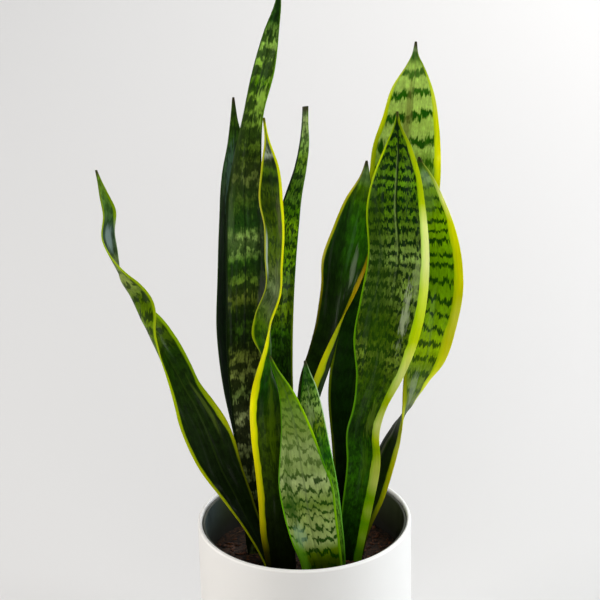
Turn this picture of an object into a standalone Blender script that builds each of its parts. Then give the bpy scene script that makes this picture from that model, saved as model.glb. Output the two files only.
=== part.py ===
"""A potted snake plant: a white cylinder pot, a dark grow pot inside it, soil and eleven upright leaves.

Metres, +Z up. The origin is the centre of the pot's flat underside and the viewer stands on the -Y side.
"""
import math

import bpy
import numpy as np

MM = 0.001
GAP = 0.3 * MM

# White outer pot: a plain upright cylinder with a round lip.
POT_RADIUS = 80.0 * MM
POT_HEIGHT = 150.0 * MM
POT_WALL = 3.0 * MM
POT_FLOOR = 4.0 * MM
POT_FOOT_ROUND = 2.5 * MM

# Dark grow pot: stands on the pot's floor, widens upwards and ends in a lip that fills the pot's mouth.
GROW_WALL = 1.3 * MM
GROW_FLOOR = 2.0 * MM
GROW_BOTTOM_RADIUS = 69.0 * MM
GROW_NECK_RADIUS = 76.0 * MM
GROW_LIP_HEIGHT = 5.0 * MM
GROW_LIP_BELOW_RIM = 2.0 * MM
GROW_LIP_SLOPE = 1.0 * MM
DRAIN_HOLES = 5
DRAIN_RADIUS = 4.0 * MM
DRAIN_CIRCLE = 48.0 * MM
DRAIN_SIDES = 20

# Soil: fills the grow pot and rises a little towards the middle.
SOIL_EDGE_HEIGHT = 115.0 * MM
SOIL_RISE = 2.5 * MM
SOIL_RINGS = (0.45, 0.75, 1.0)

TURNS = 84
LIP_STEPS = 6
CUT_PAST = 8.0 * MM

# Leaf blades.
EDGE_THICKNESS = 0.8 * MM
RIB_SHARE_OF_WIDTH = 0.12
ACROSS = 6
SPACING_TOWARDS_TIP = 1.3

# Each row is one level section of a leaf, from its foot in the soil to its tip, in millimetres and
# degrees: x, y, z of the middle between both edges, the width, how far the right edge is turned away
# from the viewer, and how deep the blade is hollowed (negative: it bulges towards the viewer).
LEAF_FAR_LEFT = (
    (-19, -10, 100, 19, 55, 3),
    (-27, -11, 124, 18, 58, 3),
    (-37, -13, 148, 19, 58, 4),
    (-50, -16, 179, 25, 33, 4),
    (-61, -18, 204, 32, 15, 4),
    (-67.5, -20, 226, 36, 10, 4),
    (-73, -21.5, 244, 35, 12, 4),
    (-78.3, -23, 259, 29.5, 18, 5),
    (-84.5, -25, 275, 24, 30, 5),
    (-88.5, -26.5, 289, 24, 43, 6),
    (-95.5, -29, 311, 27, 68, 8),
    (-103, -30, 330, 27, 92, 8),
    (-108, -32, 341, 25, 120, 7),
    (-113, -32, 351, 21, 142, 5),
    (-120, -33, 363, 18, 140, 4),
    (-124.5, -35, 373, 16, 108, 3),
    (-128.6, -36, 383, 16, 82, 3),
    (-132.6, -37, 398, 16, 60, 3),
    (-131, -39, 417, 12, 45, 2),
    (-134, -41, 431, 7, 30, 1),
    (-136.5, -41, 441, 3.5, 20, 0),
    (-138.5, -42, 450, 1.6, 10, 0),
)
LEAF_BACK_LEFT = (
    (-34, 22, 100, 20.5, 14, 3),
    (-36, 26, 148, 23, 19, 4),
    (-41, 33, 203, 23, 24, 4),
    (-47.5, 40, 243, 25, 28, 4),
    (-50.5, 48, 294, 26.5, 28, 4),
    (-49.5, 53, 325, 25, 28, 4),
    (-47.5, 61, 367, 24, 28, 3),
    (-46, 68, 405, 19.5, 28, 2),
    (-44.5, 72, 426, 12.5, 28, 1),
    (-45, 75, 442, 6, 28, 0),
    (-45, 78, 458, 1.6, 28, 0),
)
LEAF_TALL_LEFT = (
    (-31, 5, 100, 23, 8, 4),
    (-34, 8, 163, 25.5, 11, 4),
    (-37, 11, 209, 27, 14, 4),
    (-40, 14, 246, 27, 16, 4),
    (-40, 17, 285, 30, 16, 4),
    (-38.5, 21, 326, 31.5, 16, 4),
    (-37.5, 23, 371, 31, 16, 4),
    (-37.5, 27, 402, 27, 16, 3),
    (-35, 29, 430, 21, 16, 3),
    (-30, 31, 461, 15.5, 16, 2),
    (-22, 33, 493, 17, 16, 2),
    (-15.5, 36, 522, 11.5, 16, 1),
    (-10, 38, 545, 4, 16, 0),
    (-9.5, 38, 556, 1.6, 16, 0),
)
LEAF_TWISTED = (
    (-17, -25, 100, 22, -170, 3),
    (-18.5, -24, 128, 23, -168, 3),
    (-20.5, -23, 150, 25, -168, 3),
    (-21.5, -22, 176, 25, -166, 3),
    (-23, -21, 198, 25, -163, 3),
    (-26, -20, 231, 25, -158, 3.5),
    (-27.5, -19, 266, 25.5, -138, 5),
    (-30, -18, 290, 22, -97, 7),
    (-30.5, -17, 305, 21, -65, 8.5),
    (-27, -16, 321, 21, -58, 4),
    (-19, -15, 344, 20, -58, 3.5),
    (-18, -14, 366, 20, -50, 3),
    (-17, -13, 392, 20, -42, 3),
    (-18.5, -12, 410, 19, -25, 2.5),
    (-18.5, -11, 437, 13, -10, 1.5),
    (-20.5, -10, 460, 3, 0, 0),
    (-22, -10, 474, 1.6, 0, 0),
)
LEAF_BLUNT = (
    (-8, 16, 100, 19, 7, 3),
    (-9, 19, 148, 20.5, 9, 3),
    (-12, 24, 197, 18.5, 12, 3),
    (-14.5, 28, 238, 17.5, 14, 3),
    (-14.5, 34, 282, 18.5, 14, 3),
    (-13, 38, 311, 18.5, 14, 3),
    (-11, 43, 343, 19.5, 14, 3),
    (-8, 45, 368, 18.5, 14, 3),
    (-3, 49, 390, 13.5, 14, 2),
    (3, 52, 412, 9.5, 14, 1),
    (6, 54, 429, 7.5, 14, 0.5),
    (7, 56, 446, 5, 14, 0),
    (7.5, 58, 457, 4.5, 14, 0),
)
LEAF_SMALL_FRONT = (
    (12.5, -36, 100, 27, -4, -4),
    (12, -37, 130, 31, -5, -4),
    (8, -38, 150, 36, -5, -4),
    (4.5, -39, 172, 39, -6, -4),
    (1.5, -40, 200, 40, -7, -4),
    (-1, -42, 219, 33, -7, -3),
    (-4.5, -43, 249, 22, -8, -2),
    (-12, -45, 281, 10, -8, -1),
    (-19, -46, 298, 4, -8, 0),
    (-22, -46, 307, 1.6, -8, 0),
)
LEAF_SMALL_SECOND = (
    (16, -26, 100, 26, 6, -3),
    (16, -26, 129, 28, 7, -3),
    (14, -26, 158, 28.5, 8, -3),
    (11, -26, 191, 28.5, 10, -3),
    (7.5, -26, 228, 23.5, 11, -3),
    (6.5, -25, 252, 17.5, 12, -2),
    (5.5, -25, 271, 11, 12, -1),
    (4, -25, 284, 5, 12, 0),
    (3, -24, 292, 1.6, 12, 0),
)
LEAF_DARK_CENTRE = (
    (8, -12, 100, 21, 0, 3),
    (9.5, -11, 129, 23, 0, 3),
    (8, -8, 169, 24, -10, 3),
    (3, -4, 207, 24, -40, 5),
    (0, 1, 236, 25, -70, 9),
    (2.3, 4, 259, 27, -76, 13),
    (8.7, 7, 277, 27, -76, 13),
    (19.7, 12, 307, 29, -62, 10),
    (28.4, 15, 331, 32, -40, 5),
    (33.5, 17, 352, 35, -20, 3),
    (39.5, 19, 375, 30, -10, 3),
    (45, 22, 399, 20, -5, 2),
    (49.5, 23, 418, 6, 0, 0),
    (50.5, 24, 427, 1.6, 0, 0),
)
LEAF_BROAD_RIGHT = (
    (30, -13, 100, 19, -5, 5),
    (33, -13, 125, 20, -6, 5),
    (39.5, -13, 165, 23, -7, 5),
    (44.5, -13, 200, 25, -8, 5),
    (45, -14, 231, 24.5, -9, 4),
    (49, -13, 245, 24.5, -10, 4),
    (57, -13, 272, 34.5, -10, 4),
    (62, -12, 302, 47.5, -10, 4),
    (67.5, -12, 332, 48.5, -10, 4),
    (71.5, -10, 365, 44.5, -10, 4),
    (70, -9, 407, 41.5, -10, 3),
    (71, -8, 428, 33.5, -10, 2),
    (72, -7, 449, 19, -10, 1),
    (71.5, -7, 468, 4, -10, 0),
    (71.5, -6, 475, 1.6, -10, 0),
)
LEAF_TALL_RIGHT = (
    (30, 24, 100, 20.5, -11, 4),
    (33, 24, 123, 21.5, -13, 4),
    (35, 27, 154, 23, -15, 4),
    (35.5, 30, 194, 28.5, -18, 4),
    (37, 33, 234, 36.5, -21, 4),
    (46, 38, 276, 43.5, -22, 4),
    (60.5, 44, 318, 50, -22, 4),
    (73.5, 53, 369, 55.5, -22, 4),
    (78.5, 57, 394, 55.5, -22, 4),
    (81, 62, 421, 52.5, -22, 4),
    (84, 65, 442, 43.5, -22, 3),
    (86, 69, 465, 31.5, -22, 2),
    (88, 72, 482, 13, -22, 1),
    (88, 73, 489, 5.5, -22, 0),
    (88.5, 74, 499, 1.6, -22, 0),
)
LEAF_FAR_RIGHT = (
    (34, 3, 100, 18, 142, 3),
    (41, 4, 135, 18, 140, 3),
    (53, 7, 166, 21, 136, 3),
    (61.3, 10, 191, 23, 124, 3),
    (65.9, 12, 203, 24, 114, 2),
    (68.9, 12.4, 210, 24, 106, 1),
    (71.3, 12.5, 216, 24, 98, 1),
    (74.5, 12.4, 222, 24, 87, 2),
    (77.6, 12, 228, 24.5, 74, 2),
    (80.2, 13.1, 236, 25.5, 62, 1.5),
    (83, 14, 243, 27, 51, 1),
    (85.8, 15.2, 251, 28.5, 40, 1),
    (90.4, 15.8, 263, 31, 22, 2),
    (97, 19, 296, 36, -1, 4),
    (101.5, 23, 335, 39, -18, 4),
    (100, 27, 364, 35, -18, 3),
    (96, 30, 393, 23, -18, 2),
    (91.5, 33, 414, 10.5, -18, 1),
    (89.5, 34, 420, 5.5, -18, 0),
    (88.5, 34, 425, 1.6, -18, 0),
)

# Name, cross-sections, thickness of the blade's middle at the foot and near the tip, steps along.
LEAVES = (
    ("leaf_far_left", LEAF_FAR_LEFT, 3.6, 1.4, 52),
    ("leaf_back_left", LEAF_BACK_LEFT, 3.4, 1.4, 26),
    ("leaf_tall_left", LEAF_TALL_LEFT, 3.6, 1.4, 32),
    ("leaf_twisted", LEAF_TWISTED, 3.4, 1.4, 46),
    ("leaf_blunt", LEAF_BLUNT, 3.2, 1.6, 26),
    ("leaf_small_front", LEAF_SMALL_FRONT, 3.8, 1.4, 22),
    ("leaf_small_second", LEAF_SMALL_SECOND, 3.4, 1.4, 20),
    ("leaf_dark_centre", LEAF_DARK_CENTRE, 3.4, 1.4, 36),
    ("leaf_broad_right", LEAF_BROAD_RIGHT, 3.8, 1.4, 36),
    ("leaf_tall_right", LEAF_TALL_RIGHT, 3.8, 1.4, 34),
    ("leaf_far_right", LEAF_FAR_RIGHT, 3.6, 1.4, 48),
)

WHITE_CERAMIC = (0.80, 0.79, 0.76)
DARK_PLASTIC = (0.030, 0.032, 0.030)
BROWN_SOIL = (0.045, 0.028, 0.018)
LEAF_GREEN = (0.07, 0.14, 0.03)


def clear_scene():
    """Start from an empty scene."""
    for thing in list(bpy.data.objects):
        bpy.data.objects.remove(thing, do_unlink=True)


def new_collection(name):
    """A collection linked to the scene."""
    group = bpy.data.collections.new(name)
    bpy.context.scene.collection.children.link(group)
    return group


def new_material(name, colour, roughness):
    """One plain Principled material."""
    material = bpy.data.materials.new(name)
    material.use_nodes = True
    shader = material.node_tree.nodes["Principled BSDF"]
    shader.inputs["Base Color"].default_value = (*colour, 1.0)
    shader.inputs["Roughness"].default_value = roughness
    return material


def new_object(name, points, faces, group, material=None):
    """A mesh object made from points in metres and lists of point numbers."""
    mesh = bpy.data.meshes.new(name)
    mesh.from_pydata([tuple(point) for point in points], [], faces)
    mesh.update()
    thing = bpy.data.objects.new(name, mesh)
    group.objects.link(thing)
    if material is not None:
        mesh.materials.append(material)
        mesh.shade_smooth()
        mesh.set_sharp_from_angle(angle=math.radians(35))
    return thing


def arc(centre_r, centre_z, radius, start, end, steps):
    """Points (r, z) on part of a circle, angles in degrees, both ends included."""
    angles = np.radians(np.linspace(start, end, steps + 1))
    return [(centre_r + radius * math.cos(a), centre_z + radius * math.sin(a)) for a in angles]


def turned(name, profile, group, material):
    """A solid of revolution; the profile runs down the outer side first and starts and ends on the axis."""
    inner = profile[1:-1]
    angles = np.linspace(0.0, 2.0 * math.pi, TURNS, endpoint=False)
    points = [(0.0, 0.0, profile[0][1])]
    for radius, height in inner:
        points += [(radius * math.cos(a), radius * math.sin(a), height) for a in angles]
    points.append((0.0, 0.0, profile[-1][1]))
    faces = []
    last = len(points) - 1
    for k in range(TURNS):
        after = (k + 1) % TURNS
        faces.append((0, 1 + k, 1 + after))
        for ring in range(len(inner) - 1):
            here = 1 + ring * TURNS
            below = here + TURNS
            faces.append((here + k, below + k, below + after, here + after))
        end = 1 + (len(inner) - 1) * TURNS
        faces.append((last, end + after, end + k))
    return new_object(name, points, faces, group, material)


def pot_profile():
    """The white pot's section: up the inside, over the round lip, down the outside, in along the underside."""
    inside = POT_RADIUS - POT_WALL
    lip = POT_WALL / 2
    profile = [(0.0, POT_FLOOR)]
    profile += arc(inside - POT_WALL, POT_FLOOR + POT_WALL, POT_WALL, -90, 0, 3)
    profile += arc(POT_RADIUS - lip, POT_HEIGHT - lip, lip, 180, 0, LIP_STEPS)
    profile += arc(POT_RADIUS - POT_FOOT_ROUND, POT_FOOT_ROUND, POT_FOOT_ROUND, 0, -90, 4)
    profile.append((0.0, 0.0))
    return profile


def grow_wall_radius(height):
    """Outer radius of the grow pot's tapering wall at a height."""
    bottom = POT_FLOOR + GAP
    neck = POT_HEIGHT - GROW_LIP_BELOW_RIM - GROW_LIP_HEIGHT
    share = (height - bottom) / (neck - bottom)
    return GROW_BOTTOM_RADIUS + share * (GROW_NECK_RADIUS - GROW_BOTTOM_RADIUS)


def grow_pot_profile():
    """The grow pot's section, in the same order as the pot's."""
    bottom = POT_FLOOR + GAP
    top = POT_HEIGHT - GROW_LIP_BELOW_RIM
    neck = top - GROW_LIP_HEIGHT
    lip_out = POT_RADIUS - POT_WALL - GAP
    lip_in = GROW_NECK_RADIUS - GROW_WALL
    lip_round = (lip_out - lip_in) / 2
    floor_top = bottom + GROW_FLOOR
    profile = [(0.0, floor_top)]
    profile.append((grow_wall_radius(floor_top) - GROW_WALL, floor_top))
    profile += arc(lip_out - lip_round, top - lip_round, lip_round, 180, 0, LIP_STEPS)
    profile.append((lip_out, neck))
    profile.append((GROW_NECK_RADIUS, neck - GROW_LIP_SLOPE))
    profile.append((GROW_BOTTOM_RADIUS, bottom))
    profile.append((0.0, bottom))
    return profile


def soil_profile():
    """The soil: a low mound on top, sides and floor a gap clear of the grow pot."""
    bottom = POT_FLOOR + GAP + GROW_FLOOR + GAP
    edge = grow_wall_radius(SOIL_EDGE_HEIGHT) - GROW_WALL - GAP
    base = grow_wall_radius(bottom) - GROW_WALL - GAP
    profile = [(0.0, SOIL_EDGE_HEIGHT + SOIL_RISE)]
    for share in SOIL_RINGS:
        drop = SOIL_RISE * share * share
        profile.append((edge * share, SOIL_EDGE_HEIGHT + SOIL_RISE - drop))
    profile.append((base, bottom))
    profile.append((0.0, bottom))
    return profile


def smooth_rows(rows, steps):
    """Rows along a smooth curve through the given rows, placed closer together towards the tip."""
    rows = np.array(rows, dtype=float)
    apart = np.linalg.norm(np.diff(rows[:, :3], axis=0), axis=1)
    place = np.concatenate(([0.0], np.cumsum(apart)))
    slope = np.gradient(rows, place, axis=0)
    share = np.linspace(0.0, 1.0, steps + 1)
    wanted = place[-1] * (1.0 - (1.0 - share) ** SPACING_TOWARDS_TIP)
    cell = np.clip(np.searchsorted(place, wanted, side="right") - 1, 0, len(place) - 2)
    length = (place[cell + 1] - place[cell])[:, None]
    t = (wanted - place[cell])[:, None] / length
    start = (2 * t ** 3 - 3 * t ** 2 + 1) * rows[cell] + (t ** 3 - 2 * t ** 2 + t) * length * slope[cell]
    finish = (3 * t ** 2 - 2 * t ** 3) * rows[cell + 1] + (t ** 3 - t ** 2) * length * slope[cell + 1]
    return start + finish


def blade_rings(rows, thick_foot, thick_tip, steps, grow=0.0):
    """Front and back points of a blade, each an array (ring, across, xyz) in metres."""
    smooth = smooth_rows(rows, steps)
    middle = smooth[:, :3] * MM
    width = smooth[:, 3] * MM
    turn = np.radians(smooth[:, 4])
    hollow = smooth[:, 5] * MM
    along = np.gradient(middle, axis=0)
    along /= np.linalg.norm(along, axis=1)[:, None]
    side = np.stack([np.cos(turn), np.sin(turn), np.zeros_like(turn)], axis=1)
    face = np.cross(side, along)
    face /= np.linalg.norm(face, axis=1)[:, None]
    share = np.linspace(0.0, 1.0, steps + 1)
    centre_thick = (thick_foot + (thick_tip - thick_foot) * share) * MM
    centre_thick = np.minimum(centre_thick, EDGE_THICKNESS + RIB_SHARE_OF_WIDTH * width)

    across = np.linspace(-1.0, 1.0, ACROSS + 1)[None, :]
    half = (width / 2 + grow)[:, None]
    sideways = half * across
    outwards = hollow[:, None] * (across ** 2 - 1.0)
    lean = 2.0 * hollow[:, None] * across / half
    length = np.sqrt(1.0 + lean ** 2)
    bulge = centre_thick[:, None] - EDGE_THICKNESS
    offset = (EDGE_THICKNESS + bulge * (1.0 - across ** 2)) / 2 + grow
    front_side = sideways - offset * lean / length
    front_out = outwards + offset / length
    back_side = sideways + offset * lean / length
    back_out = outwards - offset / length

    def place(side_amount, out_amount):
        flat = middle[:, None, :] + side_amount[:, :, None] * side[:, None, :]
        return flat + out_amount[:, :, None] * face[:, None, :]

    return place(front_side, front_out), place(back_side, back_out)


def blade_solid(front, back):
    """Points and triangles of a closed blade; both faces are split along the same diagonals."""
    rings, count = front.shape[:2]
    points = np.concatenate([front.reshape(-1, 3), back.reshape(-1, 3)])
    far = rings * count
    faces = []
    for ring in range(rings - 1):
        for k in range(count - 1):
            a = ring * count + k
            b = a + 1
            c = b + count
            d = a + count
            faces += [(a, b, c), (a, c, d)]
            faces += [(far + a, far + c, far + b), (far + a, far + d, far + c)]
        for a, flip in ((ring * count, False), (ring * count + count - 1, True)):
            d = a + count
            wall = [(a, d, far + d), (a, far + d, far + a)]
            faces += [tri[::-1] for tri in wall] if flip else wall
    for start, flip in ((0, False), ((rings - 1) * count, True)):
        for k in range(count - 1):
            a = start + k
            end = [(a, far + a, far + a + 1), (a, far + a + 1, a + 1)]
            faces += [tri[::-1] for tri in end] if flip else end
    return points, faces


def add_leaf(entry, group, material):
    """One leaf as a closed solid."""
    name, rows, thick_foot, thick_tip, steps = entry
    front, back = blade_rings(rows, thick_foot, thick_tip, steps)
    points, faces = blade_solid(front, back)
    return new_object(name, points, faces, group, material)


def leaf_hole_cutter(group):
    """The feet of all the leaves, a gap larger all round and a gap deeper, as one cutter."""
    all_points = []
    all_faces = []
    for _name, rows, thick_foot, thick_tip, steps in LEAVES:
        front, back = blade_rings(rows, thick_foot, thick_tip, steps, GAP)
        top = SOIL_EDGE_HEIGHT + SOIL_RISE + CUT_PAST
        rings = int(np.argmax(front[:, 0, 2] > top)) + 1
        front = front[:rings]
        back = back[:rings]
        front[0, :, 2] -= GAP
        back[0, :, 2] -= GAP
        points, faces = blade_solid(front, back)
        shift = sum(len(batch) for batch in all_points)
        all_points.append(points)
        all_faces += [tuple(shift + number for number in face) for face in faces]
    cutter = new_object("leaf_holes", np.concatenate(all_points), all_faces, group)
    return cutter


def drain_hole_cutter(group):
    """Upright rods through the grow pot's floor."""
    sides = DRAIN_SIDES
    low = POT_FLOOR - CUT_PAST
    high = POT_FLOOR + GROW_FLOOR + CUT_PAST
    points = []
    faces = []
    for hole in range(DRAIN_HOLES):
        turn = 2 * math.pi * hole / DRAIN_HOLES
        x = DRAIN_CIRCLE * math.cos(turn)
        y = DRAIN_CIRCLE * math.sin(turn)
        first = len(points)
        for height in (low, high):
            for k in range(sides):
                angle = 2 * math.pi * k / sides
                points.append((x + DRAIN_RADIUS * math.cos(angle), y + DRAIN_RADIUS * math.sin(angle), height))
        for k in range(sides):
            after = (k + 1) % sides
            faces.append((first + k, first + after, first + sides + after, first + sides + k))
        faces.append(tuple(first + k for k in reversed(range(sides))))
        faces.append(tuple(first + sides + k for k in range(sides)))
    return new_object("drain_holes", points, faces, group)


def cut(thing, cutter):
    """Take the cutter away from a part."""
    cutter.hide_render = True
    cutter.display_type = "WIRE"
    change = thing.modifiers.new(cutter.name, "BOOLEAN")
    change.operation = "DIFFERENCE"
    change.object = cutter


def main():
    clear_scene()
    parts = new_collection("snake_plant")
    cutters = new_collection("cutters")
    turned("pot", pot_profile(), parts, new_material("white_ceramic", WHITE_CERAMIC, 0.35))
    grow_pot = turned("grow_pot", grow_pot_profile(), parts, new_material("dark_plastic", DARK_PLASTIC, 0.4))
    soil = turned("soil", soil_profile(), parts, new_material("potting_soil", BROWN_SOIL, 0.95))
    cut(grow_pot, drain_hole_cutter(cutters))
    cut(soil, leaf_hole_cutter(cutters))
    for entry in LEAVES:
        add_leaf(entry, parts, new_material(entry[0] + "_green", LEAF_GREEN, 0.4))


main()
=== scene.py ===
# %% [markdown]
# # A snake plant in a white pot
#
# Eleven upright leaves stand in dark soil, in a dark grow pot that sits inside a plain white cylinder pot.
# The measured frame gives the place and size of every piece. The cells below lay finer surfaces over it:
# turned walls for the two pots, a rough mound for the soil, and a smooth closed blade for each leaf.
# Most of the look is in the leaves, so their cross bands, edges and waxy skin get their own small tools.

import math

import bpy
import numpy as np
from mathutils import Matrix


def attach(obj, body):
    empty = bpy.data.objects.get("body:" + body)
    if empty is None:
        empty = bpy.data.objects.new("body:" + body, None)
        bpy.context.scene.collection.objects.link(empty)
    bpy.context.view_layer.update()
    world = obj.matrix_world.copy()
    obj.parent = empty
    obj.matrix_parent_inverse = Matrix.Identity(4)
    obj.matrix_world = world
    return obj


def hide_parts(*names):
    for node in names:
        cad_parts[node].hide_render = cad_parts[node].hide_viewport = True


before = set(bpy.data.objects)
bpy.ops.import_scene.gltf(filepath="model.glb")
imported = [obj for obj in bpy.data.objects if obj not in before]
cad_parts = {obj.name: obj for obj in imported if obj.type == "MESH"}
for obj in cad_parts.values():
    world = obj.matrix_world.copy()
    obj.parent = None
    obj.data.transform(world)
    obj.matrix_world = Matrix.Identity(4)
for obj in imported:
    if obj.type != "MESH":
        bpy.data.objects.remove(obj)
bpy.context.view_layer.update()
print("frame nodes:", len(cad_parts))

# %% [markdown]
# ## Real sizes
#
# All lengths are in metres once they reach a mesh, but a pot and a leaf are easier to think of in
# millimetres, so the sizes below are in millimetres and get multiplied by MM. The pot is 160 mm across. Its
# dark liner stands on its floor and ends 2 mm under its rim. The soil starts 35 mm under the rim at the
# liner's wall and rises a little towards the middle. GAP is the air left between pieces that stand in
# each other.

# %% Pot, liner and soil sizes
MM = 0.001
GAP = 0.3 * MM

POT_RADIUS = 80.0 * MM
POT_HEIGHT = 150.0 * MM
POT_WALL = 3.0 * MM
POT_FLOOR = 4.0 * MM
POT_FOOT_ROUND = 2.5 * MM

GROW_WALL = 1.3 * MM
GROW_FLOOR = 2.0 * MM
GROW_BOTTOM_RADIUS = 69.0 * MM
GROW_NECK_RADIUS = 76.0 * MM
GROW_LIP_HEIGHT = 5.0 * MM
GROW_LIP_BELOW_RIM = 2.0 * MM
GROW_LIP_SLOPE = 1.0 * MM

SOIL_EDGE_HEIGHT = 115.0 * MM
SOIL_RISE = 2.5 * MM
SOIL_ROUGHNESS = 1.1 * MM

print("pot", POT_RADIUS * 2 / MM, "mm across,", POT_HEIGHT / MM, "mm high")

# %% [markdown]
# ## Leaf sections
#
# A snake plant leaf is a strap that widens, twists and narrows to a point. It could be modelled by pulling a
# plane about by hand, but a list of level sections is shorter and easier to correct: each row says where the
# middle of the blade is at one height, how wide it is, how far it is turned, and how deep it is hollowed.
# These are the same sections that the solid leaves of the frame were made from.

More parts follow.
